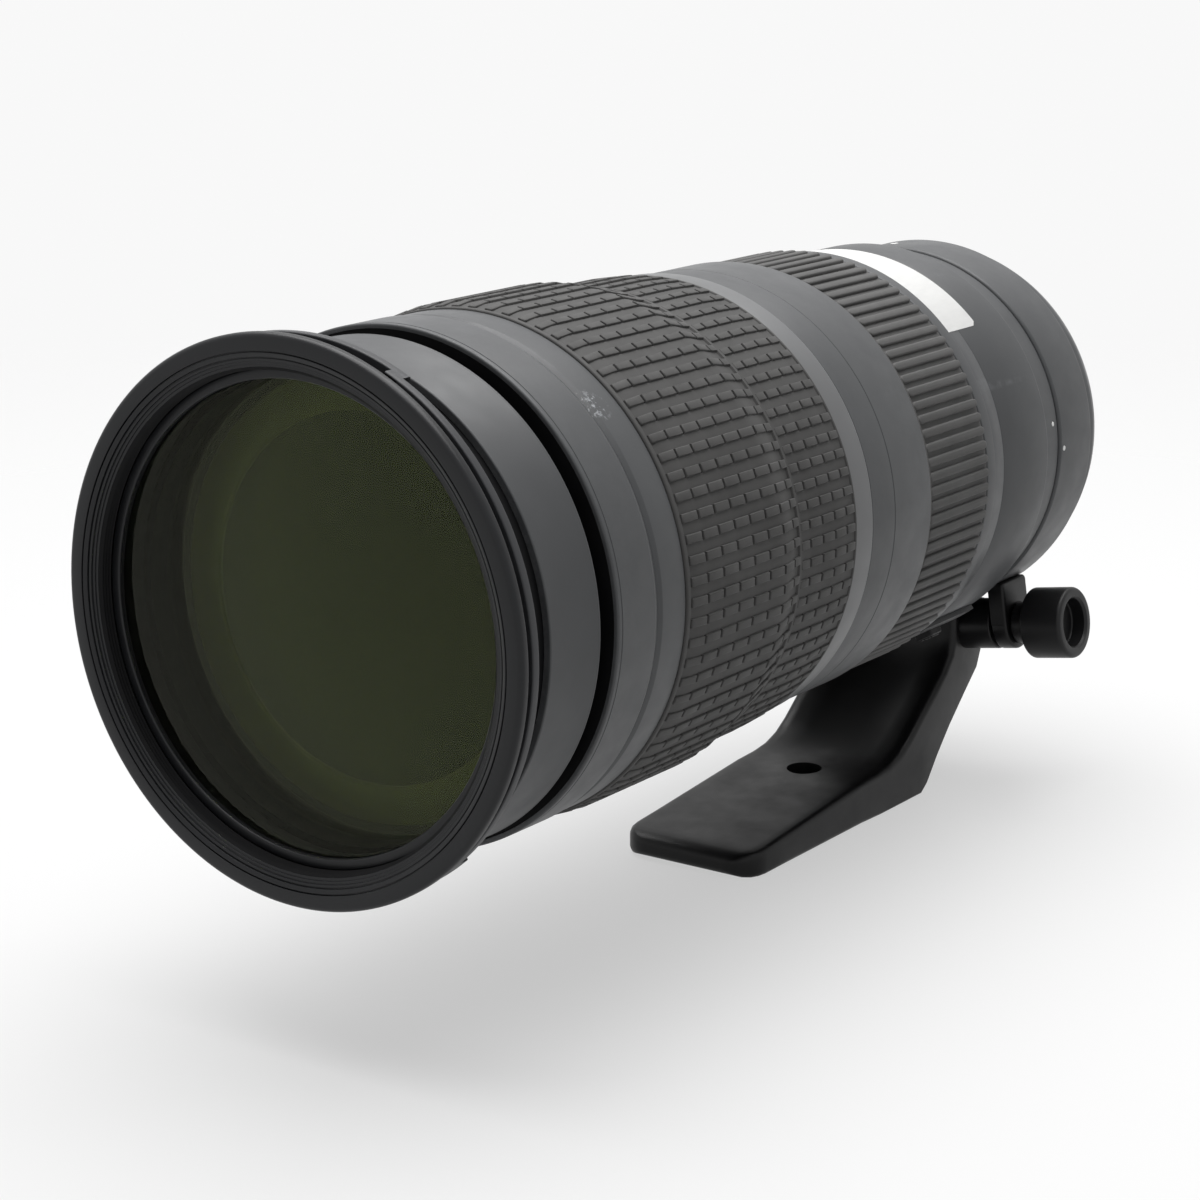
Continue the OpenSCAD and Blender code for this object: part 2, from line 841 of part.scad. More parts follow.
// The fixed rear barrel: focus journal, switch barrel, narrow band and collar seat in one casting
board_inset = 6.4;
board_t = 1.6;
board_at = cover_front + board_inset;
seat_wall = 2.5;
module rear_barrel() {
    color("#4b4d4f")
        along_lens()
            difference() {
                turned([
                    [seat_r - 2 * seat_wall, cover_front],
                    [seat_r, cover_front],
                    [seat_r, seat_front],
                    [band_r - fine_edge, seat_front],
                    [band_r, seat_front + fine_edge],
                    [band_r, band_front - 2 * edge],
                    [barrel_r - edge, band_front],
                    [barrel_r, band_front + 2 * edge],
                    [barrel_r, rear_front],
                    [guide_r, rear_front],
                    [guide_r, guide_from],
                    [bore_r, guide_from],
                    [bore_r, rear_front],
                    [chamber_r, rear_front],
                    [chamber_r, wall_shoulder],
                    [seat_r - seat_wall, wall_shoulder],
                    [seat_r - seat_wall, board_at],
                    [seat_r - 2 * seat_wall, board_at]
                ]);
                for (k = [0 : thirds - 1])
                    straight_slot(focus_key_angle + k * 360 / thirds, focus_key_at - focus_key_r - slide_gap,
                        focus_key_at + focus_key_r + slide_gap + focus_travel,
                        2 * (focus_key_r + slot_gap), focus_in);
            }
}

// The switch panel and its four slide switches
panel_inset = 2.6;
panel_from = band_front + panel_inset;
switch_w = 5;
switch_len = 5;
switch_step = 13;
switch_count = 4;
module switch_panel() {
    color("#2c2d2f")
        along_lens()
            difference() {
                intersection() {
                    tube(panel_from, panel_from + panel_len, barrel_r + panel_t, barrel_r + fit_gap);
                    wedge(barrel_turn - panel_angle / 2, barrel_turn + panel_angle / 2, barrel_r + wedge_room,
                        panel_from, panel_from + panel_len);
                }
                for (k = [0 : switch_count - 1])
                    straight_slot(switch_angle(k), switch_from - slide_gap,
                        switch_from + switch_len + switch_travel + slide_gap,
                        switch_w + 2 * slide_gap, barrel_r + wedge_room);
            }
}

switch_from = panel_from + (panel_len - switch_len - switch_travel) / 2;
function switch_angle(k) = barrel_turn + (k - (switch_count - 1) / 2) * switch_step;

// One slide switch: a block with a notch between two finger ridges
module slide_switch(k) {
    low = barrel_r + slide_gap / 2;
    top = barrel_r + panel_t + switch_h;
    notch_w = 1.6;
    notch_t = 0.5;
    color("#3a3b3d")
        along_lens()
            rotate([0, 0, switch_angle(k)])
                translate([low, -switch_w / 2, switch_from])
                    difference() {
                        cube([top - low, switch_w, switch_len]);
                        translate([top - low - notch_t, -over, (switch_len - notch_w) / 2])
                            cube([over, switch_w + 2 * over, notch_w]);
                    }
}

module focus_mode_switch() {
    slide_switch(0);
}

module focus_limit_switch() {
    slide_switch(1);
}

module stabiliser_switch() {
    slide_switch(2);
}

module stabiliser_mode_switch() {
    slide_switch(3);
}

// The tapered cover between the collar and the mount
cover_r = seat_r + 1.4;
module rear_cover() {
    bore = bayonet_r + 3;
    rear_r = flange_r + 2;
    bend_r = flange_r + 4;
    bend_at = flange_t + cover_len * 0.3;
    straight_len = 4;
    web_t = 5;
    lip_len = 6;
    color("#2f3032")
        along_lens()
            difference() {
                turned([
                    [bore, flange_t],
                    [rear_r, flange_t],
                    [bend_r, bend_at],
                    [cover_r, cover_front - straight_len],
                    [cover_r, cover_front],
                    [seat_r - 2 * seat_wall, cover_front],
                    [seat_r - 2 * seat_wall, cover_front - lip_len],
                    [bore, flange_t + web_t]
                ]);
                mount_screw_shapes(fit_gap);
            }
}

// The metal bayonet with its three lugs
module bayonet_mount() {
    lug_from = lug_t - bayonet_len;
    color("#c9cacc")
        along_lens()
            difference() {
                union() {
                    turned([
                        [throat_r, -bayonet_len],
                        [bayonet_r - fine_edge, -bayonet_len],
                        [bayonet_r, fine_edge - bayonet_len],
                        [bayonet_r, 0],
                        [flange_r, 0],
                        [flange_r, flange_t],
                        [throat_r, flange_t]
                    ]);
                    for (k = [0 : thirds - 1])
                        intersection() {
                            start = barrel_turn + k * 360 / thirds;
                            tube(lug_from, lug_from + lug_t, lug_r, bayonet_r - fine_edge);
                            wedge(start, start + lug_angle, lug_r + wedge_room, lug_from, lug_from + lug_t);
                        }
                }
                mount_screw_shapes(fit_gap);
            }
}

// Four countersunk mount screws, grown by a clearance where they are cut out of other pieces
module mount_screw_shapes(gap) {
    head_t = 1.2;
    grip_len = 4;
    screws = 4;
    for (k = [0 : screws - 1])
        rotate([0, 0, barrel_turn + (k + 0.5) * 360 / screws])
            translate([mount_screw_pcr, 0, -gap]) {
                cylinder(h = head_t + 2 * gap, r = mount_screw_r + gap);
                cylinder(h = flange_t + grip_len + 2 * gap, r = mount_screw_r / 2 + gap);
            }
}

module mount_screws() {
    color("#a8a9ab")
        along_lens()
            mount_screw_shapes(0);
}

// The rubber seal round the flange
module mount_gasket() {
    gasket_from = flange_t - 1.8;
    gasket_w = 0.8;
    color("#1a1a1b")
        along_lens()
            turned([
                [flange_r + fit_gap, gasket_from],
                [flange_r + gasket_w, gasket_from],
                [flange_r + 2 * gasket_w, flange_t],
                [flange_r + fit_gap, flange_t]
            ]);
}

// The contact block inside the throat, and its pins
contact_angle = barrel_turn + 90;
contact_step = 8;
contact_block_t = 2.2;
module contact_block() {
    span = contact_step * (contact_count + 1);
    from = edge - bayonet_len;
    color("#17181a")
        along_lens()
            difference() {
                intersection() {
                    tube(from, flange_t, throat_r - fit_gap, throat_r - contact_block_t);
                    wedge(contact_angle - span / 2, contact_angle + span / 2, throat_r + wedge_room,
                        from, flange_t);
                }
                contact_pin_shapes(fit_gap);
            }
}

// A row of round pins that stand out of the contact block's rear end
module contact_pin_shapes(gap) {
    pin_r = 0.6;
    pin_len = 3;
    for (k = [0 : contact_count - 1])
        rotate([0, 0, contact_angle + contact_step * (k - (contact_count - 1) / 2)])
            translate([throat_r - contact_block_t / 2, 0, fit_gap - bayonet_len])
                cylinder(h = pin_len + gap, r = pin_r + gap);
}

module contact_pins() {
    color("#c9a24a")
        along_lens()
            contact_pin_shapes(0);
}

// The variator's cell, which slides in the guide tube
variator_from = variator_at - variator_half;
variator_split = variator_at - slide_gap;
module variator_cell() {
    color("#2b2d2f")
        along_lens()
            difference() {
                turned([
                    [variator_glass_r - lens_lip, variator_from],
                    [extension_r, variator_from],
                    [extension_r, variator_front],
                    [variator_glass_r + fit_gap, variator_front],
                    [variator_glass_r + fit_gap, variator_from + lens_lip_t],
                    [variator_glass_r - lens_lip, variator_from + lens_lip_t]
                ]);
                follower_holes(variator_at, variator_offset);
            }
}

// Two lens blanks of the variator
module variator_lenses() {
    hollow = 210;
    rim = rim_depth(-hollow, variator_glass_r);
    color("#5d6a6e", 0.6)
        along_lens() {
            glass(variator_glass_r, variator_split + slide_gap, variator_front - rim - slide_gap, -hollow, 0);
            glass(variator_glass_r, variator_from + lens_lip_t, variator_split, 0, 0);
        }
}

module variator_followers() {
    color("#b9a36a")
        along_lens()
            followers(variator_at, variator_offset);
}

// The focus cell with its three keys, which reach through the rear barrel to the focus ring
module focus_cell() {
    to = focus_cell_from + focus_cell_len;
    color("#2b2d2f")
        along_lens()
            union() {
                turned([
                    [focus_glass_r - lens_lip, focus_cell_from],
                    [extension_r, focus_cell_from],
                    [extension_r, to],
                    [focus_glass_r + fit_gap, to],
                    [focus_glass_r + fit_gap, focus_cell_from + lens_lip],
                    [focus_glass_r - lens_lip, focus_cell_from + lens_lip]
                ]);
                for (k = [0 : thirds - 1])
                    radial(focus_key_angle + k * 360 / thirds, focus_key_at)
                        translate([0, 0, extension_r - over])
                            cylinder(h = guide_r - extension_r + over, r = focus_key_r);
            }
}

module focus_lens() {
    from = focus_cell_from + lens_lip;
    color("#5d6a6e", 0.6)
        along_lens()
            glass(focus_glass_r, from, from + focus_glass_t, focus_curve, 0);
}

// The ring motor: a fixed stator with a toothed face and a turning rotor
module motor_stator() {
    teeth = 36;
    color("#9c7a3c")
        along_lens()
            difference() {
                tube(motor_from, motor_from + motor_t, chamber_r - fit_gap, motor_in);
                for (k = [0 : teeth - 1])
                    straight_slot(k * 360 / teeth, motor_from + motor_t - 1.2, motor_from + motor_t + over,
                        1, chamber_r - 1);
            }
}

module motor_rotor() {
    color("#7d8084")
        along_lens()
            tube(rotor_from, rotor_from + motor_t - ring_gap, chamber_r - run_gap, motor_in);
}

// The fixed base of the stabiliser
module stabiliser_base() {
    color("#3b3d40")
        along_lens()
            tube(shift_base_from, shift_base_to, chamber_r - fit_gap, shift_window_r + shift_room);
}

// The frame that shifts sideways, and the carrier that shifts up and down on it
module stabiliser_guide() {
    color("#54575a")
        along_lens()
            tube(shift_guide_from, shift_guide_from + shift_guide_t, shift_guide_r, shift_window_r);
}

module stabiliser_carrier() {
    color("#6b6e72")
        along_lens()
            turned([
                [shift_glass_r - shift_lip_w, shift_from],
                [carrier_r, shift_from],
                [carrier_r, shift_from + carrier_t],
                [shift_glass_r + fit_gap, shift_from + carrier_t],
                [shift_glass_r + fit_gap, shift_from + shift_lip_t],
                [shift_glass_r - shift_lip_w, shift_from + shift_lip_t]
            ]);
}

module stabiliser_lens() {
    color("#5d6a6e", 0.6)
        along_lens()
            glass(shift_glass_r, shift_from + shift_lip_t, shift_base_from + shift_guide_t, shift_curve, 0);
}

// The iris base: a plate with the blades' pivot holes and a wall that guides the drive ring
module iris_base() {
    color("#303234")
        along_lens()
            difference() {
                turned([
                    [iris_open_r, iris_from],
                    [chamber_r - fit_gap, iris_from],
                    [chamber_r - fit_gap, iris_from + 2],
                    [iris_ring_out + 2, iris_from + 2],
                    [iris_ring_out + 2, iris_to],
                    [iris_ring_out + run_gap, iris_to],
                    [iris_ring_out + run_gap, iris_ledge],
                    [iris_wall_in, iris_ledge],
                    [iris_wall_in, iris_from + iris_plate_t],
                    [iris_open_r, iris_from + iris_plate_t]
                ]);
                for (k = [0 : blade_count - 1])
                    blade_pivot_pin(k, iris_from + 0.8, iris_from + iris_plate_t + over, run_gap);
            }
}

// A blade's pivot, grown by a clearance where it is the hole
module blade_pivot_pin(k, from, to, gap) {
    rotate([0, 0, k * 360 / blade_count])
        translate([blade_pivot, 0, from])
            cylinder(h = to - from, r = blade_pin_r + gap);
}

module iris_ring() {
    color("#7d8084")
        along_lens()
            tube(iris_ledge + run_gap, iris_ledge + iris_ring_t, iris_ring_out, blade_pivot - 2);
}

// One iris blade: an arc that lies round the open iris, a tab and its pivot pin
module iris_blade(k) {
    blade_angle = 78;
    tail_angle = 6;
    reach = 2 * blade_out;
    low = blade_from + k * blade_pitch;
    color("#3f4144")
        along_lens()
            union() {
                rotate([0, 0, k * 360 / blade_count])
                    translate([0, 0, low])
                        linear_extrude(height = blade_t)
                            union() {
                                intersection() {
                                    difference() {
                                        circle(r = blade_out);
                                        circle(r = blade_in);
                                    }
                                    polygon([
                                        [0, 0],
                                        [reach * cos(tail_angle), -reach * sin(tail_angle)],
                                        [reach * sqrt(2), reach],
                                        [reach * cos(blade_angle), reach * sin(blade_angle)]
                                    ]);
                                }
                                translate([blade_pivot, 0])
                                    circle(r = 2 * blade_pin_r);
                                translate([blade_out - over, -2 * blade_pin_r])
                                    square([blade_pivot - blade_out + over, 4 * blade_pin_r]);
                            }
                blade_pivot_pin(k, iris_from + 0.9, low + blade_t, 0);
            }
}

// The rear lens cell, whose flange stands on the shoulder of the rear barrel
rear_tube_wall = 5;
rear_tube_r = rear_glass_r + rear_tube_wall;
rear_cell_inset = 5;
rear_cell_from = flange_t + rear_cell_inset;
rear_last_t = 5;
rear_first_t = 7;
rear_first_curve = 60;
rear_front_lens_at = wall_shoulder - rear_first_t;
module rear_cell() {
    color("#2b2d2f")
        along_lens()
            turned([
                [rear_glass_r - lens_lip, rear_cell_from],
                [rear_tube_r, rear_cell_from],
                [rear_tube_r, wall_shoulder],
                [chamber_r - fit_gap, wall_shoulder],
                [chamber_r - fit_gap, wall_shoulder + rear_cell_t],
                [rear_glass_r + fit_gap, wall_shoulder + rear_cell_t],
                [rear_glass_r + fit_gap, rear_cell_from + lens_lip_t],
                [rear_glass_r - lens_lip, rear_cell_from + lens_lip_t]
            ]);
}

// Two lens blanks of the rear group, one at each end of the cell
module rear_lenses() {
    rear_last_from = rear_cell_from + lens_lip_t;
    color("#5d6a6e", 0.6)
        along_lens() {
            glass(rear_glass_r, rear_last_from, rear_last_from + rear_last_t, 0, 0);
            glass(rear_glass_r, rear_front_lens_at, rear_front_lens_at + rear_first_t, rear_first_curve, 0);
        }
}

// The ring-shaped circuit board on its step in the rear barrel
module circuit_board() {
    color("#1f5a38")
        along_lens()
            tube(board_at, board_at + board_t, seat_r - seat_wall - fit_gap, rear_tube_r + rear_tube_wall);
}

// The half of space on one side of the collar's split, from its plane outwards
module split_side(sign) {
    reach = 3 * foot_drop;
    rotate([0, 0, hinge_angle])
        translate([-reach, sign > 0 ? split_gap : -split_gap - reach, -reach])
            cube([2 * reach, reach, 2 * reach]);
}

// Puts children at the hinge line, or at the clamp screw with local X along the screw, away from the foot
module at_hinge() {
    rotate([0, 0, hinge_angle])
        translate([hinge_r, 0, 0])
            children();
}

module at_clamp() {
    translate([clamp_r * cos(clamp_angle), clamp_r * sin(clamp_angle), collar_mid])
        rotate([0, 0, clamp_tilt])
            children();
}

// A round bar along the clamp screw's line
module clamp_bar(from, to, r) {
    translate([from, 0, 0])
        rotate([0, 90, 0])
            cylinder(h = to - from, r = r);
}

// Lengths of the hinge knuckles along the collar: the strap's in the middle, the base's at the ends
knuckle_mid_from = collar_from + collar_w / 3;
knuckle_mid_to = collar_to - collar_w / 3;

// The collar's ring before it is split
module collar_hoop() {
    turned([
        [collar_in, collar_from],
        [collar_r - edge, collar_from],
        [collar_r, collar_from + edge],
        [collar_r, collar_to - fine_edge],
        [collar_r - fine_edge, collar_to],
        [collar_in, collar_to]
    ]);
}

// A knuckle of the hinge, with a web that joins it to the hoop
module knuckle(from, to, side) {
    at_hinge()
        translate([0, 0, from]) {
            cylinder(h = to - from, r = knuckle_r);
            translate([-knuckle_r - over, side > 0 ? split_gap / 2 : -knuckle_r, 0])
                cube([knuckle_r + over, knuckle_r - split_gap / 2, to - from]);
        }
}

// Turning room round a knuckle of the other half
module knuckle_room(from, to) {
    at_hinge()
        translate([0, 0, from])
            cylinder(h = to - from, r = knuckle_r + slide_gap);
}

module hinge_hole(gap) {
    at_hinge()
        translate([0, 0, collar_from - over])
            cylinder(h = collar_w + 2 * over, r = hinge_pin_r + gap);
}

// Outline of the foot and its neck from the side, as [station, height]
function foot_outline() = [
    [foot_front - 2 * toe_edge, -foot_drop],
    [foot_rear, -foot_drop],
    [foot_rear - heel_run[0], -foot_drop + heel_rise[0]],
    [foot_rear - heel_run[1], -foot_drop + heel_rise[1]],
    [collar_from + heel_run[0], -foot_drop + heel_rise[2]],
    [collar_from + neck_inset, -collar_r - collar_wall],
    [collar_from + neck_inset, -collar_in - over],
    [collar_to - neck_inset, -collar_in - over],
    [collar_to - neck_inset, -foot_drop + neck_rise[0]],
    [foot_rear + collar_wall, -foot_drop + neck_rise[1]],
    [plate_top_rear - root_run, -foot_drop + foot_root_t + neck_rise[2]],
    [plate_top_rear, -foot_drop + foot_root_t + edge],
    [plate_top_rear + root_run, -foot_drop + foot_root_t - neck_inset],
    [foot_front - toe_edge, -foot_drop + foot_tip_t],
    [foot_front, -foot_drop + foot_tip_t - toe_edge],
    [foot_front, -foot_drop + 2 * toe_edge]
];

// Plan of the foot, with round front corners, and the neck's taper left to the side outline
module foot_plan() {
    rear = collar_from - over;
    union() {
        translate([rear, -foot_w / 2])
            square([foot_front - foot_corner_r - rear, foot_w]);
        translate([rear, foot_corner_r - foot_w / 2])
            square([foot_front - rear, foot_w - 2 * foot_corner_r]);
        for (side = [-1, 1])
            translate([foot_front - foot_corner_r, side * (foot_w / 2 - foot_corner_r)])
                circle(r = foot_corner_r);
    }
}

// The foot and neck as one solid: the side outline met by the plan
module foot_body() {
    intersection() {
        rotate([0, -90, 0])
            linear_extrude(height = foot_w + 2 * over, center = true)
                polygon(foot_outline());
        translate([0, over - collar_in, 0])
            rotate([90, -90, 0])
                linear_extrude(height = foot_drop)
                    foot_plan();
    }
}

// The collar's lower half with the foot and the clamp's boss
module collar_base() {
    color("#1c1d1e")
        along_lens()
            difference() {
                union() {
                    intersection() {
                        collar_hoop();
                        split_side(1);
                    }
                    foot_body();
                    at_clamp()
                        clamp_bar(-boss_len, -split_gap, ear_r);
                    knuckle(collar_from, knuckle_mid_from - ring_gap, 1);
                    knuckle(knuckle_mid_to + ring_gap, collar_to, 1);
                }
                translate([0, 0, collar_from - over])
                    cylinder(h = collar_w + 2 * over, r = collar_in);
                knuckle_room(knuckle_mid_from - ring_gap, knuckle_mid_to + ring_gap);
                hinge_hole(fit_gap);
                clamp_slot();
                tripod_hole();
            }
}

// The open slot in the boss that takes the clamp screw
module clamp_slot() {
    w = clamp_screw_r + slide_gap;
    at_clamp() {
        clamp_bar(-boss_bore_len, over, w);
        translate([-boss_bore_len, 0, -w])
            cube([boss_bore_len + over, ear_r + over, 2 * w]);
    }
}

// The tripod thread's hole through the foot
module tripod_hole() {
    translate([0, -foot_drop - over, tripod_hole_at])
        rotate([-90, 0, 0])
            cylinder(h = foot_root_t + 2 * over, r = tripod_hole_r);
}

// The collar's upper half with the clamp's ear
module collar_strap() {
    color("#3d3f41")
        along_lens()
            difference() {
                union() {
                    intersection() {
                        collar_hoop();
                        split_side(-1);
                    }
                    at_clamp() {
                        clamp_bar(split_gap, split_gap + ear_t, ear_r);
                        translate([split_gap, 0, -ear_r])
                            cube([ear_t, clamp_step + collar_wall, 2 * ear_r]);
                    }
                    knuckle(knuckle_mid_from, knuckle_mid_to, -1);
                }
                translate([0, 0, collar_from - over])
                    cylinder(h = collar_w + 2 * over, r = collar_in);
                knuckle_room(collar_from - over, knuckle_mid_from);
                knuckle_room(knuckle_mid_to, collar_to + over);
                hinge_hole(run_gap);
                at_clamp()
                    clamp_bar(-over, ear_t + over, clamp_screw_r + run_gap);
            }
}

module collar_hinge_pin() {
    color("#8f9193")
        along_lens()
            at_hinge()
                translate([0, 0, collar_from + fine_edge])
                    cylinder(h = collar_w - 2 * fine_edge, r = hinge_pin_r);
}

// The clamp knob and its screw
module collar_knob() {
    from = split_gap + ear_t + slide_gap;
    knob_from = from + knob_stem_len;
    knob_to = knob_from + knob_len;
    recess = 4;
    screw_from = screw_room - boss_bore_len;
    lead_in = 1.6;
    color("#161718")
        along_lens()
            at_clamp()
                rotate([0, 90, 0])
                    difference() {
                        union() {
                            translate([0, 0, screw_from])
                                cylinder(h = knob_from + over - screw_from, r = clamp_screw_r);
                            translate([0, 0, from])
                                cylinder(h = knob_stem_len + over, r = knob_stem_r);
                            turned([
                                [0, knob_from],
                                [knob_r - lead_in, knob_from],
                                [knob_r, knob_from + lead_in],
                                [knob_r, knob_to - edge],
                                [knob_r - edge, knob_to],
                                [0, knob_to]
                            ]);
                        }
                        translate([0, 0, knob_to - recess])
                            cylinder(h = recess + over, r = knob_recess_r);
                    }
}

front_ring();
front_retainer();
front_element();
front_doublet();
front_cell();
front_sleeve();
extension_tube();
front_followers();
guide_tube();
mouth_ring();
zoom_ring();
zoom_grip();
accent_ring();
cam_tube();
zoom_screws();
middle_barrel();
zoom_lock_switch();
focus_ring();
focus_grip();
rear_barrel();
switch_panel();
focus_mode_switch();
focus_limit_switch();
stabiliser_switch();
stabiliser_mode_switch();
rear_cover();
bayonet_mount();
mount_screws();
mount_gasket();
contact_block();
contact_pins();
variator_cell();
variator_lenses();
variator_followers();
focus_cell();
focus_lens();
motor_stator();
motor_rotor();
stabiliser_base();
stabiliser_guide();
stabiliser_carrier();
stabiliser_lens();
iris_base();
iris_ring();
iris_blade(0);  // iris_blade_1
iris_blade(1);  // iris_blade_2
iris_blade(2);  // iris_blade_3
iris_blade(3);  // iris_blade_4
iris_blade(4);  // iris_blade_5
iris_blade(5);  // iris_blade_6
iris_blade(6);  // iris_blade_7
iris_blade(7);  // iris_blade_8
iris_blade(8);  // iris_blade_9
rear_cell();
rear_lenses();
circuit_board();
collar_base();
collar_strap();
collar_hinge_pin();
collar_knob();
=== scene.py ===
"""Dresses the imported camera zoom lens: finer shells, grips, marks, materials, studio and camera.

Lengths in the piece code are millimetres: a station is the distance ahead of the mount flange, along -Y,
and an angle counts from +X towards +Z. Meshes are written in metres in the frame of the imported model.
"""

import json
import math

import bmesh
import bpy
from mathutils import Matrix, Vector

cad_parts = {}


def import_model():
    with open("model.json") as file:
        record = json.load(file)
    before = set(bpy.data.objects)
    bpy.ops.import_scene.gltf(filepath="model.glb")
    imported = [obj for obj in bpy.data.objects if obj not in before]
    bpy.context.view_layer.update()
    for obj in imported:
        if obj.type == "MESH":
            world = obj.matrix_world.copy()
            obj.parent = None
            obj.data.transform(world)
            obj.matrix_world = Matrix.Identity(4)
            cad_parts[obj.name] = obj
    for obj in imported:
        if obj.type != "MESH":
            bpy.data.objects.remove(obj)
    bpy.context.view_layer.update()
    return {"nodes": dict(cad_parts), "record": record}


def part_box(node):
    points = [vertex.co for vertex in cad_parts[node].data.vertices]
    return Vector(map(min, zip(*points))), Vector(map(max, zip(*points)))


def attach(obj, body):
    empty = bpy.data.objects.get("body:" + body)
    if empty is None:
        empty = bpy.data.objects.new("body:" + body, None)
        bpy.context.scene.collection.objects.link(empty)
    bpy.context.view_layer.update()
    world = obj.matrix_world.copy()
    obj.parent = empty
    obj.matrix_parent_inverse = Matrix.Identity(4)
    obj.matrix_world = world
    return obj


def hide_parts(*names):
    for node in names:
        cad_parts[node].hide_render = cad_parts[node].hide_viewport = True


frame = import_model()

MM = 0.001
FULL = 360.0
STEPS = 240                  # facets round a full ring
ARC_STEPS = 5                # segments in one rounded profile corner
DOME_STEPS = 24              # segments of a lens face from its middle to its edge
SHEET_STEPS = 60             # segments along a bent sheet
STRAIGHT = math.radians(88)  # half angle from which a corner counts as straight
FILLET_SHARE = 0.49          # longest share of a side that one fillet takes
SHARP = math.radians(38)     # angle from which an edge is shaded sharp
MERGE = 1e-7                 # points closer than this, in metres, become one
SLIVER = 1e-8                # edges shorter than this, in metres, are dissolved


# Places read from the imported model

def span(node):
    """First and last station of a node, in millimetres ahead of the flange."""
    low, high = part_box(node)
    return -high[1] / MM, -low[1] / MM


def radius(node):
    """Outer radius of a round node."""
    low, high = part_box(node)
    return (high[0] - low[0]) / 2 / MM


def point(r, station, angle):
    """A point at a radius, a station and an angle in degrees, in metres."""
    a = math.radians(angle)
    return Vector((r * math.cos(a) * MM, -station * MM, r * math.sin(a) * MM))


# Profiles and shapes

def rounded(corners):
    """A closed outline from corners (u, v) or (u, v, fillet), with each fillet drawn as an arc."""
    outline = []
    count = len(corners)
    for k, corner in enumerate(corners):
        here = Vector(corner[:2])
        fillet = corner[2] if len(corner) > 2 else 0
        before = Vector(corners[k - 1][:2]) - here
        after = Vector(corners[(k + 1) % count][:2]) - here
        half = before.angle(after) / 2
        if not fillet or half > STRAIGHT:
            outline.append(tuple(here))
            continue
        reach = min(fillet / math.tan(half), FILLET_SHARE * before.length, FILLET_SHARE * after.length)
        size = reach * math.tan(half)
        middle = here + (before.normalized() + after.normalized()).normalized() * (size / math.sin(half))
        first = here + before.normalized() * reach - middle
        last = here + after.normalized() * reach - middle
        swing = first.angle_signed(last)
        for step in range(ARC_STEPS + 1):
            a = -swing * step / ARC_STEPS
            outline.append((middle.x + first.x * math.cos(a) - first.y * math.sin(a),
                            middle.y + first.x * math.sin(a) + first.y * math.cos(a)))
    return outline


class Shape:
    """Vertices and faces of one piece, gathered from simple closed forms."""

    def __init__(self):
        self.points = []
        self.faces = []

    def loft(self, rings, closed=False):
        """Joins equal rings of points, with end caps unless the last ring meets the first."""
        first = len(self.points)
        size = len(rings[0])
        for ring in rings:
            self.points.extend(ring)
        count = len(rings)
        for k in range(count if closed else count - 1):
            a = first + k * size
            b = first + (k + 1) % count * size
            for i in range(size):
                j = (i + 1) % size
                self.faces.append((a + i, a + j, b + j, b + i))
        if not closed:
            self.faces.append(tuple(range(first, first + size)))
            self.faces.append(tuple(range(first + (count - 1) * size, first + count * size)))

    def turn(self, corners, start=0.0, sweep=FULL):
        """Turns an outline of (radius, station) corners about the lens axis."""
        outline = rounded(corners)
        whole = sweep >= FULL
        count = STEPS if whole else max(3, round(STEPS * sweep / FULL) + 1)
        gaps = count if whole else count - 1
        self.loft([[point(r, s, start + sweep * k / gaps) for r, s in outline] for k in range(count)], whole)

    def block(self, low, high, place, bevel=0.0):
        """A box from low to high with bevelled upright edges and top, put in place by a function of x, y, z."""
        (x0, y0, z0), (x1, y1, z1) = low, high
        def ring(inset, z):
            return [place(x, y, z) for x, y in rounded([
                (x0 + inset, y0 + inset, bevel), (x1 - inset, y0 + inset, bevel),
                (x1 - inset, y1 - inset, bevel), (x0 + inset, y1 - inset, bevel)])]
        rings = [ring(0, z0)]
        if bevel:
            for step in range(ARC_STEPS + 1):
                a = math.pi / 2 * step / ARC_STEPS
                rings.append(ring(bevel * (1 - math.cos(a)), z1 - bevel + bevel * math.sin(a)))
        else:
            rings.append(ring(0, z1))
        self.loft(rings)

    def rod(self, corners, place, steps=96):
        """Turns an outline of (radius, height) corners about a local Z axis, put in place by a function."""
        outline = rounded(corners)
        rings = []
        for k in range(steps):
            a = 2 * math.pi * k / steps
            rings.append([place(r * math.cos(a), r * math.sin(a), h) for r, h in outline])
        self.loft(rings, True)


def clean(mesh):
    """Merges doubled points, turns the faces outwards and shades all but the sharp edges smoothly."""
    work = bmesh.new()
    work.from_mesh(mesh)
    bmesh.ops.remove_doubles(work, verts=work.verts, dist=MERGE)
    bmesh.ops.dissolve_degenerate(work, edges=work.edges, dist=SLIVER)
    bmesh.ops.recalc_face_normals(work, faces=work.faces)
    for face in work.faces:
        face.smooth = True
    for edge in work.edges:
        edge.smooth = len(edge.link_faces) == 2 and edge.calc_face_angle() < SHARP
    work.to_mesh(mesh)
    work.free()


def solid(name, shape):
    """An object of a shape, linked to the scene."""
    mesh = bpy.data.meshes.new(name)
    mesh.from_pydata([tuple(p) for p in shape.points], [], shape.faces)
    clean(mesh)
    item = bpy.data.objects.new(name, mesh)
    bpy.context.scene.collection.objects.link(item)
    return item


def piece(name, shape, body, material, nodes=()):
    """Makes an object of a shape with a material: it rides on a body and stands for CAD nodes."""
    item = solid(name, shape)
    item.data.materials.append(material)
    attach(item, body)
    if nodes:
        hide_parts(*nodes)
    return item


def turned(name, body, material, nodes, corners):
    """A piece turned about the lens axis from an outline of (radius, station) corners."""
    shape = Shape()
    shape.turn(corners)
    return piece(name, shape, body, material, nodes)


# Materials

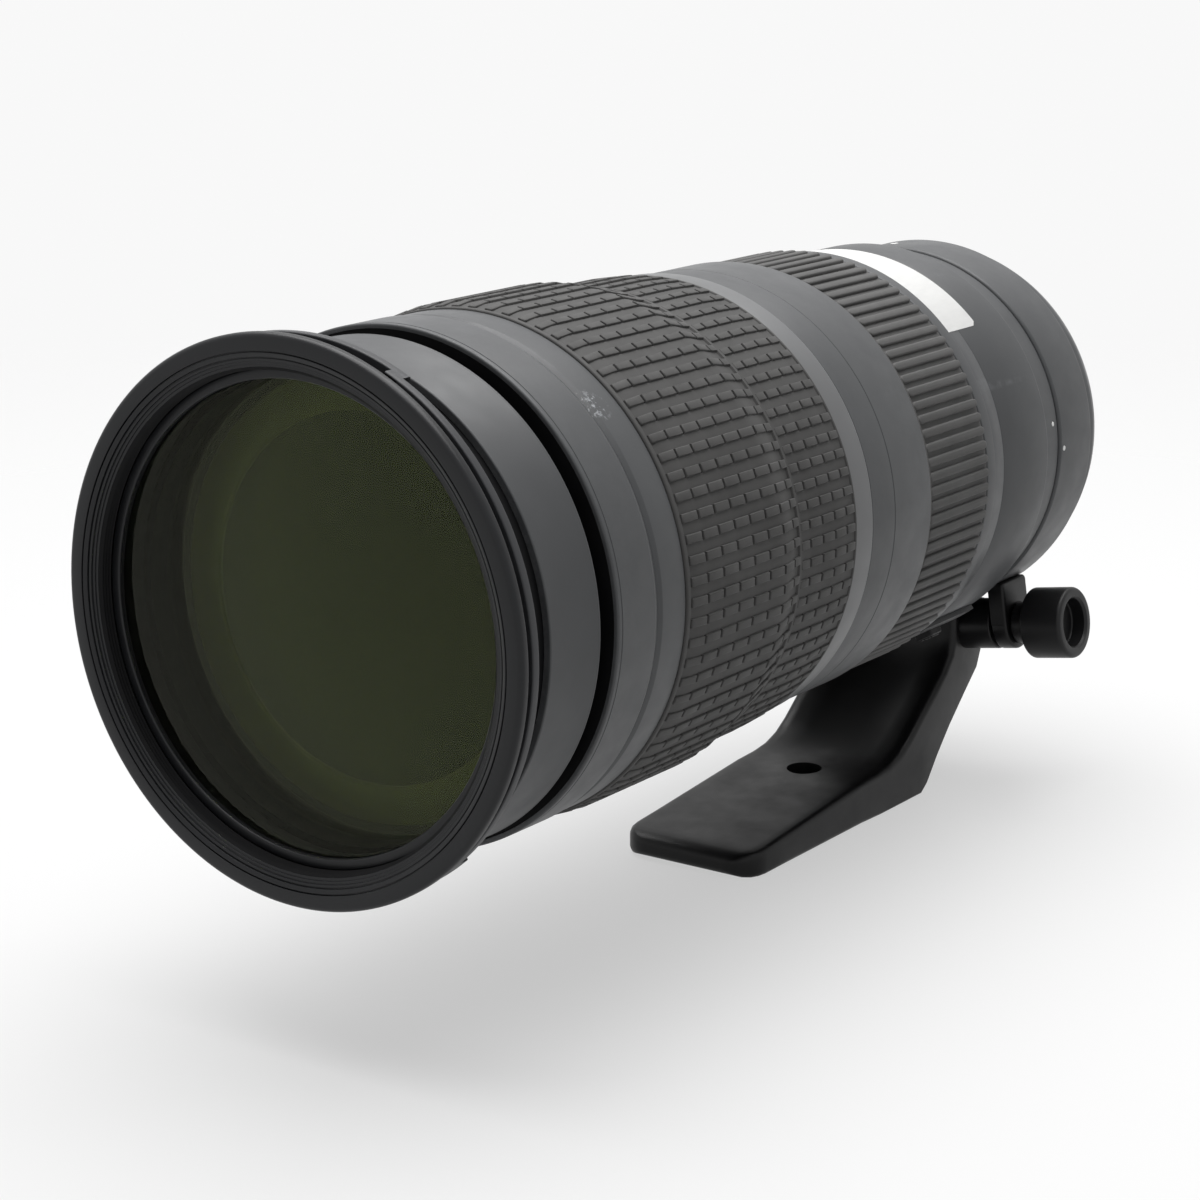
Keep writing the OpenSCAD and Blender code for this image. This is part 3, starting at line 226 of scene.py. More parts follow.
class Nodes:
    """A small writer of node trees for one material."""

    def __init__(self, name):
        self.material = bpy.data.materials.new(name)
        self.material.use_nodes = True
        self.tree = self.material.node_tree
        self.shader = self.tree.nodes["Principled BSDF"]
        self.coords = self.tree.nodes.new("ShaderNodeTexCoord").outputs["Object"]

    def add(self, kind, inputs=None, **settings):
        """A new node with its settings, and values or links on its inputs."""
        node = self.tree.nodes.new(kind)
        for key, value in settings.items():
            setattr(node, key, value)
        for key, value in (inputs or {}).items():
            self.put(value, node.inputs[key])
        return node

    def put(self, value, socket):
        """Links an output to a socket, or sets the socket's value."""
        if isinstance(value, bpy.types.NodeSocket):
            self.tree.links.new(value, socket)
        else:
            socket.default_value = value

    def shade(self, name, value):
        """Links or sets an input of the surface shader."""
        self.put(value, self.shader.inputs[name])

    def noise(self, scale, detail=3.0, roughness=0.55, coords=None):
        """A noise from 0 to 1, with its scale per metre."""
        return self.add("ShaderNodeTexNoise", {"Vector": coords or self.coords, "Scale": scale,
                                               "Detail": detail, "Roughness": roughness}).outputs["Fac"]

    def spread(self, value, low, high, to_low, to_high):
        """Maps one range of a value on another."""
        return self.add("ShaderNodeMapRange", {"Value": value, "From Min": low, "From Max": high,
                                               "To Min": to_low, "To Max": to_high}).outputs["Result"]

    def blend(self, share, first, second):
        """Mixes two colours."""
        node = self.add("ShaderNodeMix", {"Factor": share}, data_type="RGBA")
        colour_a, colour_b, result = 6, 7, 2    # the mix node's colour sockets
        self.put(first, node.inputs[colour_a])
        self.put(second, node.inputs[colour_b])
        return node.outputs[result]

    def stretched(self, x, y, z):
        """Object coordinates scaled along each axis."""
        return self.add("ShaderNodeMapping", {"Vector": self.coords, "Scale": (x, y, z)}).outputs["Vector"]

    def bump(self, height, strength, distance, normal=None):
        """A normal from a height, on top of another normal if one is given."""
        inputs = {"Height": height, "Strength": strength, "Distance": distance}
        if normal:
            inputs["Normal"] = normal
        return self.add("ShaderNodeBump", inputs).outputs["Normal"]


def rgba(colour, gain=1.0):
    """A colour times a gain, with full alpha."""
    return tuple(min(1.0, c * gain) for c in colour) + (1.0,)


MIDDLE = (0.3, 0.7)          # part of a noise's values over which a change is spread
CLOUD_SCALE, CLOUD_SHARE = 55, 0.7
GLOSS_SCALE, GLOSS_DOWN, GLOSS_UP = 140, 0.05, 0.07
GRAIN_BUMP, STREAK_BUMP = 0.35, 0.25
CONVEX = (0.515, 0.58)       # pointiness at which wear starts and is full
WEAR_SCALE, WEAR_PATCHES, WEAR_GAIN = 260, (0.42, 0.68), 3.2
FLECK_SCALE, FLECK_PATCHES, FLECK_GAIN = 900, (0.54, 0.64), 6
SCUFF_CORE = 0.3             # share of a scuff's reach that has all its flecks
FIBRE_SCALE = 900
SMEAR_SCALE, SMEAR = 30, (0.02, 0.05)
COATED_IOR = 1.21            # low, because a coated face reflects little


def finish(name, colour, rough, grain, depth, metal=0.0, mottle=0.1, wear=0.0, streak=None, specular=0.5,
           scuff=None):
    """An opaque surface: mottled colour, a grain of a size in mm as bump, uneven gloss and pale worn edges."""
    n = Nodes(name)
    cloud = n.noise(CLOUD_SCALE, 5)
    fine = n.noise(1 / (grain * MM), 2)
    tone = n.add("ShaderNodeMath", {0: n.spread(cloud, *MIDDLE, 0, CLOUD_SHARE),
                                    1: n.spread(fine, *MIDDLE, 0, 1 - CLOUD_SHARE)},
                 operation="ADD").outputs[0]
    base = n.blend(tone, rgba(colour, 1 - mottle), rgba(colour, 1 + mottle))
    if wear:
        edge = n.add("ShaderNodeNewGeometry").outputs["Pointiness"]
        rubbed = n.add("ShaderNodeMath", {0: n.spread(edge, *CONVEX, 0, 1),
                                          1: n.spread(n.noise(WEAR_SCALE, 6, 0.7), *WEAR_PATCHES, 0, wear)},
                       operation="MULTIPLY").outputs[0]
        base = n.blend(rubbed, base, rgba(colour, WEAR_GAIN))
    if scuff:
        place, reach = scuff
        away = n.add("ShaderNodeVectorMath", {0: n.coords, 1: tuple(place)},
                     operation="DISTANCE").outputs["Value"]
        flecks = n.add("ShaderNodeMath", {0: n.spread(away, SCUFF_CORE * reach, reach, 1, 0),
                                          1: n.spread(n.noise(FLECK_SCALE, 5, 0.7), *FLECK_PATCHES, 0, 0.9)},
                       operation="MULTIPLY").outputs[0]
        base = n.blend(flecks, base, rgba(colour, FLECK_GAIN))
    n.shade("Base Color", base)
    gloss = n.spread(n.noise(GLOSS_SCALE, 4), *MIDDLE, rough - GLOSS_DOWN, rough + GLOSS_UP)
    n.shade("Roughness", gloss)
    n.shade("Metallic", metal)
    n.shade("Specular IOR Level", specular)
    normal = n.bump(fine, GRAIN_BUMP, depth * MM)
    if streak:
        lines = n.noise(1 / (grain * MM), 2, coords=n.stretched(*streak))
        normal = n.bump(lines, STREAK_BUMP, depth * MM, normal)
    n.shade("Normal", normal)
    return n.material


def coated_glass(name, tint, reflection):
    """Clear glass with a faint body tint and a coloured antireflection coating."""
    n = Nodes(name)
    smear = n.spread(n.noise(SMEAR_SCALE, 2, 0.4), 0.4, 0.75, *SMEAR)
    n.shade("Roughness", smear)
    n.shade("Base Color", rgba(tint))
    n.shade("IOR", COATED_IOR)
    n.shade("Transmission Weight", 1.0)
    n.shade("Specular Tint", rgba(reflection))
    return n.material


def printed(name, colour):
    """Matt white label stock with a faint fibre."""
    n = Nodes(name)
    fibre = n.noise(FIBRE_SCALE, 4, coords=n.stretched(1, 0.25, 1))
    n.shade("Base Color", n.blend(n.spread(fibre, *MIDDLE, 0, 1), rgba(colour, 0.93), rgba(colour)))
    n.shade("Roughness", n.spread(fibre, *MIDDLE, 0.5, 0.65))
    n.shade("Normal", n.bump(fibre, 0.2, 0.02 * MM))
    return n.material


BARREL_GREY = (0.062, 0.064, 0.067)
DEEP_BLACK = (0.006, 0.006, 0.0065)
SCUFF_AT, SCUFF_REACH = point(51.5, 218.4, 47), 4.5 * MM    # on the zoom ring's lip

barrel_paint = finish("barrel_paint", BARREL_GREY, rough=0.43, grain=0.16, depth=0.012, wear=0.3, specular=0.34)
lip_paint = finish("lip_paint", BARREL_GREY, rough=0.43, grain=0.16, depth=0.012, wear=0.3, specular=0.34,
                   scuff=(SCUFF_AT, SCUFF_REACH))
front_paint = finish("front_paint", (0.011, 0.0115, 0.013), rough=0.36, grain=0.12, depth=0.006, wear=0.25,
                     specular=0.26)
rib_paint = finish("rib_paint", (0.034, 0.035, 0.038), rough=0.4, grain=0.12, depth=0.006, wear=0.3,
                   specular=0.28)
inner_black = finish("inner_black", (0.004, 0.004, 0.0045), rough=0.55, grain=0.2, depth=0.01, specular=0.12)
baffle_black = finish("baffle_black", (0.060, 0.054, 0.044), rough=0.6, grain=0.3, depth=0.01, specular=0.15)
grip_rubber = finish("grip_rubber", (0.060, 0.059, 0.058), rough=0.68, grain=0.25, depth=0.02, mottle=0.12,
                     wear=0.1, specular=0.3)
focus_rubber = finish("focus_rubber", (0.078, 0.077, 0.076), rough=0.66, grain=0.25, depth=0.02, mottle=0.12,
                      wear=0.1, specular=0.3)
accent_satin = finish("accent_satin", (0.135, 0.137, 0.14), rough=0.36, grain=0.1, depth=0.004, metal=0.2,
                      specular=0.35)
foot_paint = finish("foot_paint", DEEP_BLACK, rough=0.36, grain=0.22, depth=0.014, mottle=0.06, wear=0.12,
                    specular=0.22)
knob_plastic = finish("knob_plastic", DEEP_BLACK, rough=0.42, grain=0.2, depth=0.012, mottle=0.06, wear=0.1,
                      specular=0.26)
tube_metal = finish("tube_metal", (0.42, 0.43, 0.44), rough=0.34, grain=0.15, depth=0.004, metal=1.0,
                    streak=(1, 8, 1))
bright_steel = finish("bright_steel", (0.44, 0.44, 0.45), rough=0.3, grain=0.1, depth=0.002, metal=1.0,
                      mottle=0.05, streak=(1, 20, 1))
screw_metal = finish("screw_metal", (0.16, 0.16, 0.165), rough=0.32, grain=0.1, depth=0.002, metal=1.0,
                     mottle=0.05)
brass_metal = finish("brass_metal", (0.60, 0.43, 0.18), rough=0.3, grain=0.15, depth=0.004, metal=1.0)
gold_plate = finish("gold_plate", (0.78, 0.55, 0.20), rough=0.2, grain=0.1, depth=0.002, metal=1.0)
board_lacquer = finish("board_lacquer", (0.02, 0.11, 0.05), rough=0.3, grain=0.3, depth=0.006)
mark_white = printed("mark_white", (0.82, 0.82, 0.81))
label_white = printed("label_white", (0.66, 0.66, 0.65))
front_glass = coated_glass("front_glass", (0.86, 0.92, 0.70), (0.96, 1.0, 0.72))
inner_glass = coated_glass("inner_glass", (0.80, 0.84, 0.60), (0.10, 0.12, 0.05))
clear_glass = coated_glass("clear_glass", (0.92, 0.95, 0.95), (0.8, 0.9, 1.0))

SLOT_MATERIALS = {
    "barrel_shell": barrel_paint, "front_black": front_paint, "inner_black": inner_black, "rubber": grip_rubber,
    "accent": accent_satin, "foot_paint": foot_paint, "knob_plastic": knob_plastic, "collar_paint": barrel_paint,
    "coated_glass": inner_glass, "clear_glass": clear_glass, "tube_metal": tube_metal,
    "bright_steel": bright_steel, "brass": brass_metal, "gold": gold_plate, "board": board_lacquer,
}


# Front group

THREAD_R, THREAD_PITCH, THREAD_TURNS = 47.5, 0.75, 4
CLEAR_R = 45.5               # bore in front of the glass
RIM_T = 2.2                  # thickness of the rim's flange
RIM_BORE = 48.1
GROOVE_R = 51.1              # fine groove in the rim's face
RIM_GAP = 1.9                # open groove between the rim and the front rib
GAP_R = 51.2                 # floor of that open groove
RIB_W = 2.0                  # width of a hood rib
RIB_DROP = 0.6               # how far a hood rib stays under the rim
STOP_HIGH, STOP_LOW, STOP_W = 63.0, -48.0, 3.2    # angles of the hood's stops and their width
CHANNEL_R = 48.4             # floor of the channel behind the ribs
SLEEVE_BACK = 1.8            # how far the visible sleeve ends behind its seat
FACE_T = 0.7                 # thickness of the retainer's face
BORE_RIDGES = 8              # fine ridges in the retainer's bore
FRONT_CURVE, CROWN_CURVE, FLINT_CURVE = 850, 280, 420
CEMENT = 0.05                # gap between the doublet's two elements
BAFFLE_IN, BAFFLE_OUT = 36.0, 43.5
TUBE_WALL = 1.5

rim_front = span("front_ring")[1]
rim_r = radius("front_ring")
rim_rear = rim_front - RIM_T
sleeve_from, sleeve_to = span("front_sleeve")
sleeve_r = radius("front_sleeve")
sleeve_end = sleeve_to - SLEEVE_BACK
retainer_from, ledge = span("front_retainer")
glass_from, glass_vertex = span("front_element")
glass_r = radius("front_element")


def front_ring():
    """Rim with a grooved face and a mouth of fine steps, and the dark filter thread inside it."""
    steps = [(GROOVE_R + 0.15, 0, 0.1), (GROOVE_R + 0.1, -0.5), (GROOVE_R - 0.1, -0.5),
             (GROOVE_R - 0.15, -0.05, 0.1), (50.1, -0.4, 0.12), (50.05, -0.8), (49.85, -0.8), (49.8, -0.6, 0.08),
             (49.35, -0.7, 0.08), (49.3, -1.05), (48.75, -1.1, 0.05), (48.7, -1.35), (48.15, -1.4, 0.05),
             (RIM_BORE, -1.7)]
    turned("front_rim", "front_barrel", front_paint, ["front_ring"], [
        (RIM_BORE, rim_rear), (rim_r, rim_rear, 0.4), (rim_r, rim_front, 1.1),
        *[(r, rim_front + depth, *fillet) for r, depth, *fillet in steps]])
    teeth = []
    for k in range(THREAD_TURNS):
        top = rim_front - 1.6 - THREAD_PITCH * k
        teeth += [(THREAD_R + 0.5, top), (THREAD_R, top - THREAD_PITCH / 2)]
    back_r = RIM_BORE + 0.02
    turned("filter_thread", "front_barrel", inner_black, ["front_ring"], [
        (back_r, ledge - 0.5), (back_r, rim_front - 1.5), *teeth, (THREAD_R + 0.4, ledge - 0.5)])


def hood_bayonet():
    """The channel behind the rim, near black as partly real dark paint and partly painted shade of its depth, and the
    ribs and stops of the hood's bayonet over it.
    """
    behind, under = sleeve_end - 0.3, CHANNEL_R - 0.5
    rib_front = rim_rear - RIM_GAP
    # near-black channel and groove: partly real dark paint, partly painted shade
    turned("hood_channel", "front_barrel", inner_black, ["front_ring"], [
        (under, behind), (CHANNEL_R, behind), (CHANNEL_R, rib_front - 0.5), (GAP_R, rib_front - 0.5),
        (GAP_R, rim_rear + 0.1), (under, rim_rear + 0.1)])
    rib_r = rim_r - RIB_DROP
    floor_r = CHANNEL_R - 0.2
    front_rib = (rib_front - RIB_W, rib_front)
    rear_rib = (front_rib[0] - RIB_W, front_rib[0])
    stop = (rear_rib[0], front_rib[1])
    ribs = Shape()
    for half in (0, 180):
        for (low, high), start, end in (
                (front_rib, STOP_LOW, STOP_HIGH + STOP_W), (rear_rib, STOP_HIGH, STOP_LOW + 180),
                (stop, STOP_HIGH, STOP_HIGH + STOP_W), (stop, STOP_LOW - STOP_W, STOP_LOW)):
            ribs.turn([(floor_r, low), (rib_r, low, 0.35), (rib_r, high, 0.35), (floor_r, high)],
                      half + start, end - start)
    piece("hood_ribs", ribs, "front_barrel", rib_paint, ["front_ring"])


def front_retainer():
    """The ledge ring in front of the glass and its dark, finely ridged bore."""
    behind = ledge - FACE_T
    turned("retainer_face", "front_barrel", front_paint, ["front_retainer"], [
        (CLEAR_R, behind), (THREAD_R - 0.1, behind), (THREAD_R - 0.1, ledge, 0.1), (CLEAR_R, ledge, 0.35)])
    step = (behind - retainer_from) / BORE_RIDGES
    ridges = []
    for k in range(BORE_RIDGES):
        top = behind - step * k
        ridges += [(CLEAR_R + 0.25, top - step * 0.5), (CLEAR_R, top - step * 0.85)]
    turned("retainer_bore", "front_barrel", inner_black, ["front_retainer"], [
        (glass_r, retainer_from), (glass_r, behind), (CLEAR_R, behind), *ridges, (CLEAR_R, retainer_from)])


def bulge(r, vertex, curve):
    """Points of a spherical face that bulges forwards, from the axis to a radius."""
    reach = [r * k / DOME_STEPS for k in range(DOME_STEPS + 1)]
    return [(x, vertex - (curve - math.sqrt(curve * curve - x * x))) for x in reach]


def blacken_edges(item):
    """Paints the ground edge of a lens element black."""
    item.data.materials.append(inner_black)
    for face in item.data.polygons:
        if abs(face.normal.y) < 0.5:
            face.material_index = 1


def front_glass_group():
    """The front element, the doublet behind it and the dull baffle that frames the inner lenses."""
    edge_r = CLEAR_R - 0.1
    blacken_edges(turned("front_glass", "front_barrel", front_glass, ["front_element"], [
        *bulge(edge_r, glass_vertex, FRONT_CURVE), (edge_r, retainer_from), (glass_r, retainer_from),
        (glass_r, glass_from), (0, glass_from)]))
    low, high = span("front_doublet")
    r = radius("front_doublet")
    joint = (low + high) / 2
    inner = Shape()
    inner.turn([*bulge(r, high, CROWN_CURVE), (r, joint + CEMENT), (0, joint + CEMENT)])
    flint_rear = low + FLINT_CURVE - math.sqrt(FLINT_CURVE ** 2 - r * r)
    inner.turn([(0, joint), (r, joint), *reversed(bulge(r, flint_rear, FLINT_CURVE))])
    blacken_edges(piece("front_doublet_glass", inner, "front_barrel", inner_glass, ["front_doublet"]))
    turned("front_baffle", "front_barrel", baffle_black, (), [
        (BAFFLE_IN, low - 0.9), (BAFFLE_OUT, low - 0.9), (BAFFLE_OUT, low - 0.1), (BAFFLE_IN + 0.5, low - 0.1, 0.2),
        (BAFFLE_IN, low - 0.4)])


def front_tubes():
    """The smooth sleeve behind the front ring, and the tube that slides out with it."""
    wall = sleeve_r - TUBE_WALL
    turned("front_sleeve_shell", "front_barrel", barrel_paint, ["front_sleeve"], [
        (wall, sleeve_from), (sleeve_r, sleeve_from, 0.15), (sleeve_r + 0.1, sleeve_from + 0.2, 0.1),
        (sleeve_r + 0.1, sleeve_from + 0.5, 0.1), (sleeve_r, sleeve_from + 0.7), (sleeve_r, sleeve_end, 0.4),
        (wall, sleeve_end)])
    low, high = span("extension_tube")
    r = radius("extension_tube")
    turned("extension_tube_shell", "front_barrel", inner_black, ["extension_tube"], [
        (r - TUBE_WALL, low), (r, low, 0.3), (r, high), (r - TUBE_WALL, high)])


# Zoom ring and its rubber

ZOOM_ROWS = 80
ZOOM_RIB_SHARE = 0.45        # width of a raised row as a share of the row pitch
GRIP_RISE = 0.5              # height of a rubber block over the valleys
SEAM_HALF = 0.45             # half the width of the raised mould seam
SEAM_DROP = 0.12             # how far the seam stays under the blocks
SEAM_AT = 43.2               # mould seam, behind the rubber's front end
START_FALL, START_LEN = 0.7, 5               # slimmer at the rubber's front end, and over which length
SEAM_FALL, SEAM_FALL_FROM = 1.8, 34          # slimmer behind the seam, and where that begins
END_FALL, END_FROM, END_LEN = 0.4, 57, 9     # slimmer at the rear end, where that begins and its length
VALLEY_STEPS = 40            # segments along the rubber's valleys
FRONT_EDGE, REAR_EDGE = 1.3, 0.6             # plain bands at the ends of the rubber
NOTCH = 0.55                 # width of the notch between two blocks of a row
FRONT_NOTCHES = [6.36 + 5.58 * k for k in range(7)]
REAR_NOTCHES = [SEAM_AT + 3.8 + 4.9 * k for k in range(4)]
SEAM_SHIFT = 0.35            # turn of the rear rows at the seam, in row pitches
ACCENT_T = 0.5
SHELL_WALL = 1.2

zoom_from, zoom_to = span("zoom_ring")
lip_r = radius("zoom_ring")
grip_from, grip_to = span("zoom_grip")
grip_r = radius("zoom_grip")
accent_r = radius("accent_ring")
zoom_shell_r = accent_r - ACCENT_T
mouth_r = radius("mouth_ring")


def ease(value):
    """A soft step from 0 to 1."""
    share = min(1.0, max(0.0, value))
    return share * share * (3 - 2 * share)


def grip_top(station):
    """Radius over the zoom rubber: a low start at the lip, a swollen front part and a slim rear part."""
    back = grip_to - station
    start = START_FALL * (1 - ease(back / START_LEN))
    fall = SEAM_FALL * ease((back - SEAM_FALL_FROM) / (SEAM_AT - SEAM_FALL_FROM))
    end = END_FALL * ease((back - END_FROM) / END_LEN)
    return grip_r - start - fall - end


def rubber_block(shape, sides, top, depth, bevel):
    """A raised block over an outline of (station, angle) points; its top follows a radius by station."""
    mid_s = sum(s for s, _ in sides) / len(sides)
    mid_a = sum(a for _, a in sides) / len(sides)
    length = max(s for s, _ in sides) - min(s for s, _ in sides)
    width = math.radians(max(a for _, a in sides) - min(a for _, a in sides)) * top(mid_s)
    def ring(drop, inset):
        out = []
        for s, a in sides:
            station = mid_s + (s - mid_s) * (1 - 2 * inset / length)
            out.append(point(top(station) - drop, station, mid_a + (a - mid_a) * (1 - 2 * inset / width)))
        return out
    shape.loft([ring(depth, 0), ring(bevel, 0.3 * bevel), ring(0.3 * bevel, 0.75 * bevel),
                ring(0, 1.6 * bevel)])


def zoom_rubber():
    """Rows of raised rubber blocks, cut by narrow notches and turned a little at the mould seam; black plates just
    over the valleys in the notches are painted shade.
    """
    shape = Shape()
    seam = grip_to - SEAM_AT
    first, last = grip_from + REAR_EDGE + 0.2, grip_to - FRONT_EDGE - 0.1
    stations = [first + (last - first) * k / VALLEY_STEPS for k in range(VALLEY_STEPS + 1)]
    stations = [s for s in stations if abs(s - seam) > 2 * SEAM_HALF]
    stations += [seam + SEAM_HALF * k for k in (-1.6, -0.9, 0.9, 1.6)]
    valley = []
    for station in sorted(stations):
        raised = abs(station - seam) < SEAM_HALF
        valley.append((grip_top(station) - (SEAM_DROP if raised else GRIP_RISE), station))
    rear, front = grip_top(grip_from) - 0.2, grip_top(grip_to) - 0.1
    end = grip_to - 0.1
    shape.turn([(zoom_shell_r, grip_from), (rear, grip_from, 0.3), (rear, grip_from + REAR_EDGE, 0.3), *valley,
                (front, grip_to - FRONT_EDGE, 0.3), (front, end, 0.45), (zoom_shell_r, end)])
    pitch = FULL / ZOOM_ROWS
    half = ZOOM_RIB_SHARE * pitch / 2
    # black plates laid just over the valley in each notch: painted shade of the notch's depth
    notch_shade_plates = Shape()
    def strip(target, row, near, far, top, depth, bevel):
        angle = pitch * (row - (SEAM_SHIFT if near >= SEAM_AT else 0))
        low, high = grip_to - far, grip_to - near
        sides = [(low, angle - half), (high, angle - half), (high, angle + half), (low, angle + half)]
        rubber_block(target, sides, top, depth, bevel)
    def shade_plate_top(station):
        return grip_top(station) - GRIP_RISE + 0.06
    for part in ([FRONT_EDGE, *FRONT_NOTCHES, SEAM_AT], [SEAM_AT, *REAR_NOTCHES, grip_to - grip_from - REAR_EDGE]):
        for row in range(ZOOM_ROWS):
            for near, far in zip(part, part[1:]):
                strip(shape, row, near + NOTCH / 2, far - NOTCH / 2, grip_top, GRIP_RISE + 0.1, 0.18)
            for cut in part[1:-1]:
                strip(notch_shade_plates, row, cut - NOTCH / 2, cut + NOTCH / 2, shade_plate_top, 0.2, 0.02)
    piece("zoom_rubber", shape, "zoom_ring", grip_rubber, ["zoom_grip"])
    # the notch plates are black as painted shade
    piece("zoom_rubber_notch_shade", notch_shade_plates, "zoom_ring", inner_black, ["zoom_grip"])


def zoom_shells():
    """The zoom ring's shell and lip, the pale accent ring and the fixed mouth ring."""
    inside = zoom_shell_r - SHELL_WALL
    turned("zoom_ring_shell", "zoom_ring", lip_paint, ["zoom_ring"], [
        (inside, zoom_from), (zoom_shell_r, zoom_from), (zoom_shell_r, grip_to), (lip_r, grip_to, 0.25),
        (lip_r, zoom_to - 1.2, 0.8), (lip_r - 0.5, zoom_to, 0.15), (inside, zoom_to)])
    low, high = span("accent_ring")
    turned("accent_ring_band", "zoom_ring", accent_satin, ["accent_ring"], [
        (zoom_shell_r + 0.05, low), (accent_r - 0.3, low), (accent_r, low + 0.6, 0.4), (accent_r, high, 0.2),
        (zoom_shell_r + 0.05, high)])
    low, high = span("mouth_ring")
    inner = mouth_r - 2.6
    bore = radius("extension_tube") + 0.3
    inset = high - 1.8           # where the dark face inside the mouth sits
    turned("mouth_ring_shell", "barrel", barrel_paint, ["mouth_ring"], [
        (inner, low), (mouth_r - 0.6, low, 0.15), (mouth_r, low + 1.3, 0.8), (mouth_r, high - 1.5),
        (mouth_r - 0.12, high - 1.4), (mouth_r - 0.12, high - 1.2), (mouth_r, high - 1.1), (mouth_r, high, 0.7),
        (mouth_r - 1.0, high), (mouth_r - 1.2, inset), (inner, inset)])
    turned("mouth_ring_face", "barrel", inner_black, ["mouth_ring"], [
        (bore, inset), (mouth_r - 1.1, inset), (mouth_r - 1.05, high - 0.4), (bore, high - 0.4, 0.3)])


# Fixed barrel, focus ring and its rubber

PANEL_ANGLE = -81.0          # turn of the barrel in the collar
FOCUS_ROWS = 96
FOCUS_RIB_SHARE = 0.66       # width of a rib as a share of the row pitch
RIB_END_STEPS = 6            # segments of a rib's round end
BARREL_R = 46.8              # rear barrel ahead of its step
BAND_R = 44.3                # plain band ahead of the collar
SEAT_R = 41.9                # seat under the collar
STEP_AT = 50.2               # station of the rear barrel's step

middle_from, middle_to = span("middle_barrel")
middle_r = radius("middle_barrel")
focus_from, focus_to = span("focus_grip")
focus_r = radius("focus_grip")
rear_to = span("focus_ring")[0] - 0.3
collar_from, collar_to = span("collar_strap")


def barrel_shells():
    """The plain barrel sections: one with a fine line between the grips, and the stepped rear one."""
    line = middle_from + 0.62 * (middle_to - middle_from)
    turned("middle_barrel_shell", "barrel", barrel_paint, ["middle_barrel"], [
        (middle_r - 2, middle_from), (middle_r, middle_from, 0.4), (middle_r, line - 0.2), (middle_r - 0.18, line),
        (middle_r, line + 0.2), (middle_r, middle_to, 0.4), (middle_r - 2, middle_to)])
    line = rear_to - 6.3
    tongue, inside = BARREL_R - 1.2, BARREL_R - 2.6
    turned("rear_barrel_shell", "barrel", barrel_paint, ["rear_barrel"], [
        (SEAT_R - 2, collar_from - 0.3), (SEAT_R, collar_from - 0.3), (SEAT_R, collar_to + 0.3),
        (BAND_R, collar_to + 0.3, 0.4), (BAND_R, STEP_AT - 0.8, 0.5), (BARREL_R - 0.9, STEP_AT),
        (BARREL_R, STEP_AT + 1.1, 0.9), (BARREL_R, line - 0.2), (BARREL_R - 0.15, line), (BARREL_R, line + 0.2),
        (BARREL_R, rear_to, 0.4), (tongue, rear_to), (tongue, middle_from), (inside, middle_from),
        (inside, STEP_AT + 2), (SEAT_R - 2, STEP_AT - 3)])


def focus_parts():
    """The focus ring's lip, and rubber of wide ribs with rounded ends and narrow grooves."""
    low, high = span("focus_ring")
    edge_r = focus_r - 0.7
    under = edge_r - 0.6
    turned("focus_ring_shell", "focus_ring", barrel_paint, ["focus_ring"], [
        (under - 1, low), (edge_r, low, 0.4), (edge_r, focus_from - 0.2, 0.4), (under, focus_from), (under, high),
        (under - 1, high)])
    valley = focus_r - 0.75
    rubber = Shape()
    rubber.turn([(under + 0.05, focus_from), (valley - 0.1, focus_from, 0.2), (valley, focus_from + 0.6),
                 (valley, focus_to - 1.5), (focus_r - 0.12, focus_to - 1.2, 0.3), (focus_r - 0.12, focus_to, 0.35),
                 (under + 0.05, focus_to)])
    pitch = FULL / FOCUS_ROWS
    half = FOCUS_RIB_SHARE * pitch / 2
    half_mm = math.radians(half) * focus_r
    for row in range(FOCUS_ROWS):
        outline = []
        for end, way in ((focus_to - 1.0 - half_mm, 1), (focus_from + 0.15 + half_mm, -1)):
            for k in range(RIB_END_STEPS + 1):
                turn = math.radians(90 - 180 * k / RIB_END_STEPS)
                outline.append((end + way * half_mm * math.cos(turn), row * pitch + way * half * math.sin(turn)))
        rubber_block(rubber, outline, lambda station: focus_r, focus_r - valley + 0.1, 0.3)
    piece("focus_rubber", rubber, "focus_ring", focus_rubber, ["focus_grip"])


def rear_parts():
    """The rear cover's swept shell and the steel bayonet with its three lugs."""
    low, high = span("rear_cover")
    r = radius("rear_cover")
    bore, inside = 24.9, r - 6.4
    turned("rear_cover_shell", "barrel", barrel_paint, ["rear_cover"], [
        (bore, low), (34.5, low, 0.8), (36.4, low + 6.2, 7), (r - 1.2, high - 6.6, 5), (r, high - 3.4, 2),
        (r, high, 0.3), (inside, high), (inside, high - 6), (bore, low + 5)])
    low, flange = span("bayonet_mount")
    rim = radius("bayonet_mount")
    throat, tube, lug_r, lug_t = 18.5, 21.9, 23.4, 1.6
    lugs, lug_start, lug_sweep = 3, 30, 56
    mount = Shape()
    mount.turn([(throat, low, 0.2), (tube, low, 0.4), (tube, -0.9), (tube - 0.35, -0.5), (tube, 0),
                (rim - 0.9, 0, 0.1), (rim, 0.7, 0.2), (rim, flange), (throat + 1.4, flange), (throat + 1.4, 0),
                (throat, -1)])
    for k in range(lugs):
        mount.turn([(tube - 0.4, low + 0.15), (lug_r, low + 0.15, 0.25), (lug_r, low + lug_t, 0.15),
                    (tube - 0.4, low + lug_t)], FULL / lugs * k + lug_start, lug_sweep)
    piece("bayonet_shell", mount, "barrel", bright_steel, ["bayonet_mount"])


def cross_outline(r, width, count):
    """Points of a cross with arms of a length and a width, one for each of equal turns about its middle."""
    out = []
    for k in range(count):
        a = 2 * math.pi * k / count
        c, s = abs(math.cos(a)), abs(math.sin(a))
        reach = min(r / max(c, s), width / min(c, s) if min(c, s) > 1e-6 else r)
        out.append((reach * math.cos(a), reach * math.sin(a)))
    return out


